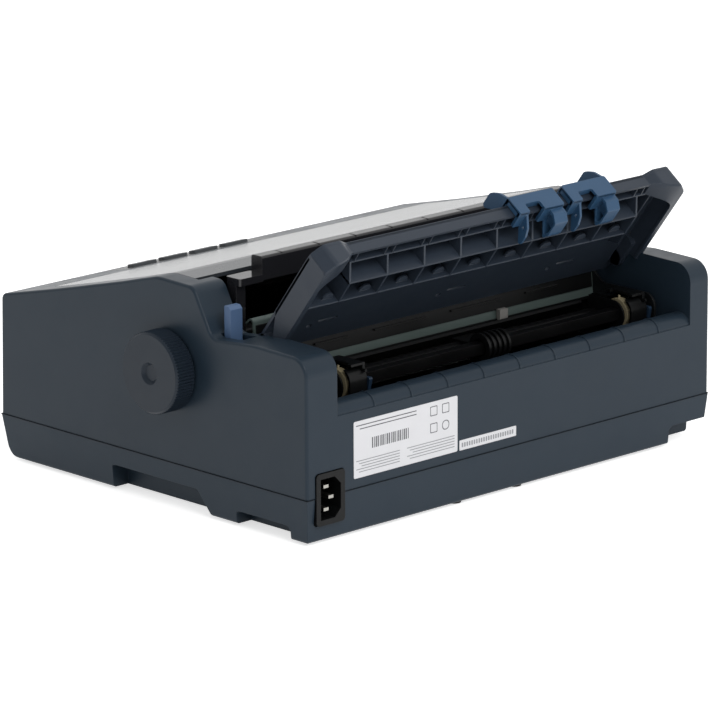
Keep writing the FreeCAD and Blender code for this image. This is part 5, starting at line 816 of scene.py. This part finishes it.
def black_plate(shape):
    left, right = olive_low.x + plate_inset * MM, olive_high.x - plate_inset * MM
    for z0, z1 in plate_bands:
        tilted_box(shape, left, right, z0, z1, plate_near, plate_far)
    for x0, x1 in ledges:
        tilted_box(shape, middle_x + x0 * MM, middle_x + x1 * MM, ledge_low, ledge_high, plate_far - 0.1,
                   ledge_reach)


mesh_piece("paper_ledge_plate", black_plate, black_shell, "case", 0.2)

# %% [markdown]
# ## Tractor side plates
# A black cheek covers most of each sprocket, so that only a thin crescent of it shows at the rear. The cheek
# ends in an arc whose centre lies in front of the sprocket's, which is what leaves a crescent.

# %% Tractor side plates
cheek_half, cheek_radius, cheek_shift = 9.4, 9.8, 2.2
cheek_gap, cheek_sheet, cheek_front, arc_steps, arc_reach = 0.15, 1.2, 2, 14, 86


def cheek_maker(side):
    """Function that draws the cheek beside one sprocket."""
    sprocket_low, sprocket_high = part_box(side + "_sprocket")
    tractor_low, tractor_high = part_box(side + "_tractor")
    centre_y = (sprocket_low.y + sprocket_high.y) / 2
    centre_z = (tractor_low.z + tractor_high.z) / 2
    front = tractor_low.y + cheek_front * MM
    loop = [(front, centre_z - cheek_half * MM)]
    for step in range(arc_steps + 1):
        angle = math.radians(-arc_reach + 2 * arc_reach * step / arc_steps)
        loop.append((centre_y - cheek_shift * MM + cheek_radius * MM * math.cos(angle),
                     centre_z + cheek_half * MM * math.sin(angle)))
    loop.append((front, centre_z + cheek_half * MM))
    x0 = tractor_high.x + cheek_gap * MM
    x1 = x0 + cheek_sheet * MM
    return lambda shape: solid(shape, [(x0, y, z) for y, z in loop], [(x1, y, z) for y, z in loop])


for side in ("right", "left"):
    mesh_piece(side + "_tractor_cheek", cheek_maker(side), black_shell, side + "_tractor",
               0.25)

# %% [markdown]
# ## Seam round the case
# Where the two shells meet, the real printer has a fine dark line, the shadow in the groove between them. The
# imported shells meet flush, so nothing casts that shadow. A near-black strip a third of a millimetre high,
# laid round the shells' common outline, is a painted shadow that stands in for the groove. The outline is the
# hull of the lower shell's own points at the seam, so it always fits, and the strip stops on both sides of
# the mains inlet.

# %% Outline at the seam
seam_z = case_high.z
on_seam = 0.05
shell_points = [nodes["lower_case"].matrix_world @ vert.co for vert in nodes["lower_case"].data.vertices]
seam_points = [point for point in shell_points if abs(point.z - seam_z) < on_seam * MM]


def hull_of(points):
    """Corners of the smallest convex outline round flat points, anticlockwise."""
    ordered = sorted({(round(point.x, 6), round(point.y, 6)) for point in points})
    halves = []
    for run in (ordered, ordered[::-1]):
        half = []
        for point in run:
            while len(half) > 1 and ((half[-1][0] - half[-2][0]) * (point[1] - half[-2][1])
                                     - (half[-1][1] - half[-2][1]) * (point[0] - half[-2][0])) <= 0:
                half.pop()
            half.append(point)
        halves += half[:-1]
    return halves


print("seam at", round(seam_z / MM, 1), "mm, corners", len(hull_of(seam_points)))

# %% [markdown]
# ## Laying the strip
# The strip is one small rectangle repeated at every corner of the outline, like a profile swept along a
# curve. Built by hand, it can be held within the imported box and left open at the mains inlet.

# %% Seam
seam_section = ((0.06, -0.17), (0.06, 0.17), (-0.6, 0.17), (-0.6, -0.17))


def within(value, low, high):
    return max(low, min(high, value))


def seam_shadow_strip(shape):
    """Open strip of painted shadow round the case from one side of the mains inlet to the other."""
    inlet_low, inlet_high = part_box("inlet_housing")
    outline = hull_of(seam_points)
    rear_left = max(range(len(outline)), key=lambda index: (outline[index][1] > rear_face - MM,
                                                            -outline[index][0]))
    outline = ([(inlet_low.x, rear_face)] + outline[rear_left:] + outline[:rear_left]
               + [(inlet_high.x, rear_face)])
    low, high = Vector(cad_bounds[0]), Vector(cad_bounds[1])
    rows = []
    for x, y in outline:
        row = []
        for out, z in seam_section:
            step_x = 0.0 if x in (inlet_low.x, inlet_high.x) else math.copysign(out * MM, x - middle_x)
            step_y = math.copysign(out * MM, y)
            row.append((within(x + step_x, low.x, high.x), within(y + step_y, low.y, high.y),
                        seam_z + z * MM))
        rows.append(row)
    solid(shape, *rows)


# The strip's near-black colour is a painted shadow for the groove between the shells.
seam_painted_shadow = finish_of("seam_painted_shadow", "10151B", 0.6, bump=0.0, wear=0.0, specular=0.1)
mesh_piece("case_seam_shadow", seam_shadow_strip, seam_painted_shadow, "case")

# %% [markdown]
# ## Plates on the rear wall
# Two stuck-on plates sit under the rear band. They carry plain rules, even bars and empty boxes, with no
# words or signs. Each mark is its own thin solid just above the plate, which keeps its edge sharp at any
# distance.

# %% Rear plate helpers
label_paper = finish_of("label_paper", "E6E6E9", 0.42, "ECECEF", bump=0.10, grain=1800.0, wear=0.0,
                        mottle_scale=60.0)
label_ink = finish_of("label_ink", "5E6064", 0.5, "75777B", bump=0.0, wear=0.0, mottle_scale=900.0)
label_pale_ink = finish_of("label_pale_ink", "9B9DA1", 0.5, bump=0.0, wear=0.0, mottle_scale=900.0)
large_face, strip_face, ink, plate_gap = 0.16, 0.14, 0.02, 0.02
ragged, rule_rounding = 0.06, 0.3
large_plate, strip_plate = (49.4, 136.0, 34.9, 69.8, 1.2), (-1.0, 47.8, 34.8, 41.2, 0.6)


def from_middle(x0, x1, z0, z1, radius):
    """Rounded box on the rear wall, in millimetres from the case's middle."""
    return [(middle_x + a * MM, b * MM) for a, b in rounded(quad(x0, x1, z0, z1, radius, radius))]


def plate_piece(name, outlines, material, near, far):
    """Thin solids on the rear wall, from near to far off it in millimetres."""
    def build(shape):
        for loop in outlines:
            solid(shape, *([(x, rear_face + off * MM, z) for x, z in loop] for off in (near, far)))
    return mesh_piece(name, build, material, "case")


def rules(x0, x1, z, count, pitch, thick):
    """Lines under each other, with ragged right ends."""
    return [from_middle(x0, x1 - (index % 3) * (x1 - x0) * ragged, z - pitch * index,
                        z - pitch * index + thick, thick * rule_rounding) for index in range(count)]


plate_piece("rear_plate_large", [from_middle(*large_plate)], label_paper, plate_gap, large_face)
plate_piece("rear_plate_strip", [from_middle(*strip_plate)], label_paper, plate_gap, strip_face)

# %% [markdown]
# ## Marks on the plates
# Bars of two widths, rules with ragged ends and four boxes fill the large plate. A dark box under a slightly
# smaller pale field reads as a thin frame, which is simpler than cutting a hole.

# %% Plate marks
bar_pitch, bar_start, wide_bar, thin_bar = 1.55, 90.6, 0.95, 0.6
bars = []
for index in range(20):
    x = bar_start + bar_pitch * index
    bars.append(from_middle(x, x + (wide_bar if index % 3 else thin_bar), 51.2, 57.8, 0.05))
plate_piece("rear_plate_bars", bars + rules(84.0, 134.0, 66.6, 2, 2.2, 0.6), label_ink, large_face - 0.01,
            large_face + ink)
plate_piece("rear_plate_rules", rules(98.0, 134.0, 45.0, 5, 1.7, 0.5) + rules(52.0, 92.0, 45.0, 5, 1.7, 0.5),
            label_pale_ink, large_face - 0.01, large_face + ink)
box_corners = ((57.0, 61.5, 0.5), (67.0, 61.5, 0.5), (57.0, 51.0, 2.5), (67.0, 51.0, 0.5))
field_size, frame_line = 5, 0.5
frames = [from_middle(x - frame_line, x + field_size + frame_line, z - frame_line,
                      z + field_size + frame_line, radius + 0.1) for x, z, radius in box_corners]
fields = [from_middle(x, x + field_size, z, z + field_size, min(radius, 2.4)) for x, z, radius in box_corners]
plate_piece("rear_plate_boxes", frames, label_ink, large_face - 0.01, large_face + ink / 2)
plate_piece("rear_plate_box_fields", fields, label_paper, large_face, large_face + ink)
mark_pitch, mark_width = 2.05, 1.3
strip_marks = [from_middle(1.5 + mark_pitch * index, 1.5 + mark_pitch * index + mark_width, 36.6, 39.4, 0.4)
               for index in range(22)]
plate_piece("rear_plate_strip_marks", strip_marks, label_pale_ink, strip_face - 0.01, strip_face + 0.01)

# %% [markdown]
# ## Marks on the power switch
# A bar and a ring show which half of the rocker is on. They are thin inlays that tilt with the shallow dish
# of the rocker's face and move with it.

# %% Switch marks
mark_paint = finish_of("mark_paint", "D6D6D2", 0.5, bump=0.05, wear=0.0)
rocker_low, rocker_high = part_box("power_rocker")
rocker_y = (rocker_low.y + rocker_high.y) / 2
rocker_z = (rocker_low.z + rocker_high.z) / 2
rocker_half = (rocker_high.y - rocker_low.y) / 2
dish_depth, mark_share = 0.7, 0.52
mark_sunk, mark_proud = -0.00002, 0.00008
bar_half, bar_reach, ring_inner, ring_outer = 0.35, 2.2, 1.45, 2.1


def rocker_loop(side, outline, lift):
    """Points of an outline on one half of the rocker's dished face."""
    tilt = math.tan(math.atan2(dish_depth * MM, rocker_half))
    offset = rocker_half * mark_share
    depth = rocker_low.x + (rocker_half - offset) * tilt
    return [(depth - along * tilt - lift, rocker_y + side * (offset + along), rocker_z + up)
            for along, up in outline]


def bar_mark(shape):
    w, h = bar_half * MM, bar_reach * MM
    corners = [(-w, -h), (w, -h), (w, h), (-w, h)]
    solid(shape, rocker_loop(1, corners, mark_sunk), rocker_loop(1, corners, mark_proud))


def ring_mark(shape):
    rings = []
    for radius in (ring_inner * MM, ring_outer * MM):
        for lift in (mark_sunk, mark_proud):
            rings.append([shape.verts.new(point) for point in rocker_loop(-1, circle(radius), lift)])
    inner_back, inner_front, outer_back, outer_front = rings
    for first, second in ((inner_front, outer_front), (inner_back, outer_back), (inner_back, inner_front),
                          (outer_back, outer_front)):
        walls(shape, first, second)


mesh_piece("switch_mark_bar", bar_mark, mark_paint, "power_rocker")
mesh_piece("switch_mark_ring", ring_mark, mark_paint, "power_rocker")

# %% [markdown]
# ## Stage
# The printer stands on a white table that has no visible end. The table is a plain diffuse sheet, so it
# takes the contact shadow. It glows a little for camera, glossy and transmission rays, which turns it white
# in the picture and in reflections without lighting the printer from below.

# %% Stage
reach, floor_drop, floor_tone, floor_glow = 30.0, 0.0002, 0.86, 0.66
floor_mesh = bpy.data.meshes.new("floor")
floor_mesh.from_pydata([(-reach, -reach, 0), (reach, -reach, 0), (reach, reach, 0), (-reach, reach, 0)], [],
                       [(0, 1, 2, 3)])
floor = new_object("floor", floor_mesh)
floor.location.z = -floor_drop
floor_look, tree, floor_shader = new_material("floor_look")
fill(floor_shader, {"Base Color": (floor_tone, floor_tone, floor_tone, 1), "Roughness": 0.9,
                    "Specular IOR Level": 0.0, "Emission Color": (1, 1, 1, 1)})
ray = add(tree, "ShaderNodeLightPath").outputs
seen = arithmetic(tree, "ADD", ray["Is Camera Ray"], ray["Is Glossy Ray"])
seen = arithmetic(tree, "ADD", seen, ray["Is Transmission Ray"])
tree.links.new(arithmetic(tree, "MULTIPLY", seen, floor_glow), floor_shader.inputs["Emission Strength"])
floor_mesh.materials.append(floor_look)
print("floor reach", reach, "glow", floor_glow)

# %% [markdown]
# ## Light
# The photograph's light is soft and comes from behind the printer's rear corner. A pale sky that is brighter
# to the printer's left, a large key lamp over the rear and a weak fill on the right give the same shades.

# %% Light
brighter_side, sky_low, sky_high = (-0.98, -0.18, 0.0), 0.45, 1.0
lowest_at, highest_at = -0.8, 0.6
world = bpy.data.worlds.new("studio")
bpy.context.scene.world = world
world.use_nodes = True
sky = world.node_tree
background = sky.nodes["Background"]
direction = add(sky, "ShaderNodeTexCoord").outputs["Generated"]
toward = add(sky, "ShaderNodeVectorMath", operation="DOT_PRODUCT")
toward.inputs[1].default_value = brighter_side
sky.links.new(direction, toward.inputs[0])
strength = spread(sky, toward.outputs["Value"], lowest_at, highest_at, sky_low, sky_high)
sky.links.new(strength, background.inputs["Strength"])
background.inputs["Color"].default_value = (1.0, 1.0, 1.0, 1)


def soft_light(name, place, aim, size, power):
    """Square area lamp at a place, turned towards its aim."""
    data = bpy.data.lights.new(name, "AREA")
    data.shape = "RECTANGLE"
    data.size, data.size_y = size, size
    data.energy = power
    lamp = new_object(name, data)
    lamp.location = place
    lamp.rotation_euler = (Vector(aim) - Vector(place)).to_track_quat("-Z", "Y").to_euler()
    print(name, power, "W")


soft_light("key", (0.5, 2.0, 1.9), (0, 0, 0.08), 1.4, 23)
soft_light("fill", (2.2, -0.6, 1.2), (0, 0, 0.06), 1.2, 1)

# %% [markdown]
# ## Camera
# The camera stands behind the printer's right rear corner and looks slightly down with a long lens. Its
# place, its angles and its lens were fitted to known corners of the case.

# %% Camera
yaw, pitch, roll = -2.3762, -0.2569, -0.0046
camera_place = (2.181305, 2.277982, 0.889035)
focal_pixels, image_pixels = 5222.3987, 713
ahead = Vector((math.cos(pitch) * math.sin(yaw), math.cos(pitch) * math.cos(yaw), math.sin(pitch)))
right = ahead.cross(Vector((0, 0, 1))).normalized()
up = right.cross(ahead)
turned_right = right * math.cos(roll) + up * math.sin(roll)
turned_up = up * math.cos(roll) - right * math.sin(roll)
camera_data = bpy.data.cameras.new("camera")
camera_data.sensor_width = 36.0
camera_data.lens = focal_pixels / image_pixels * camera_data.sensor_width
camera_data.clip_start = 0.05
camera_data.clip_end = 200.0
camera = new_object("camera", camera_data)
camera.matrix_world = Matrix.Translation(camera_place) @ Matrix(
    (turned_right, turned_up, -ahead)).transposed().to_4x4()
bpy.context.scene.camera = camera
bpy.context.scene.view_settings.view_transform = "Standard"
print("lens", round(camera_data.lens, 2), "mm")

# %% Box of the imported model
print("packed box", [[round(value, 4) for value in corner] for corner in cad_bounds])
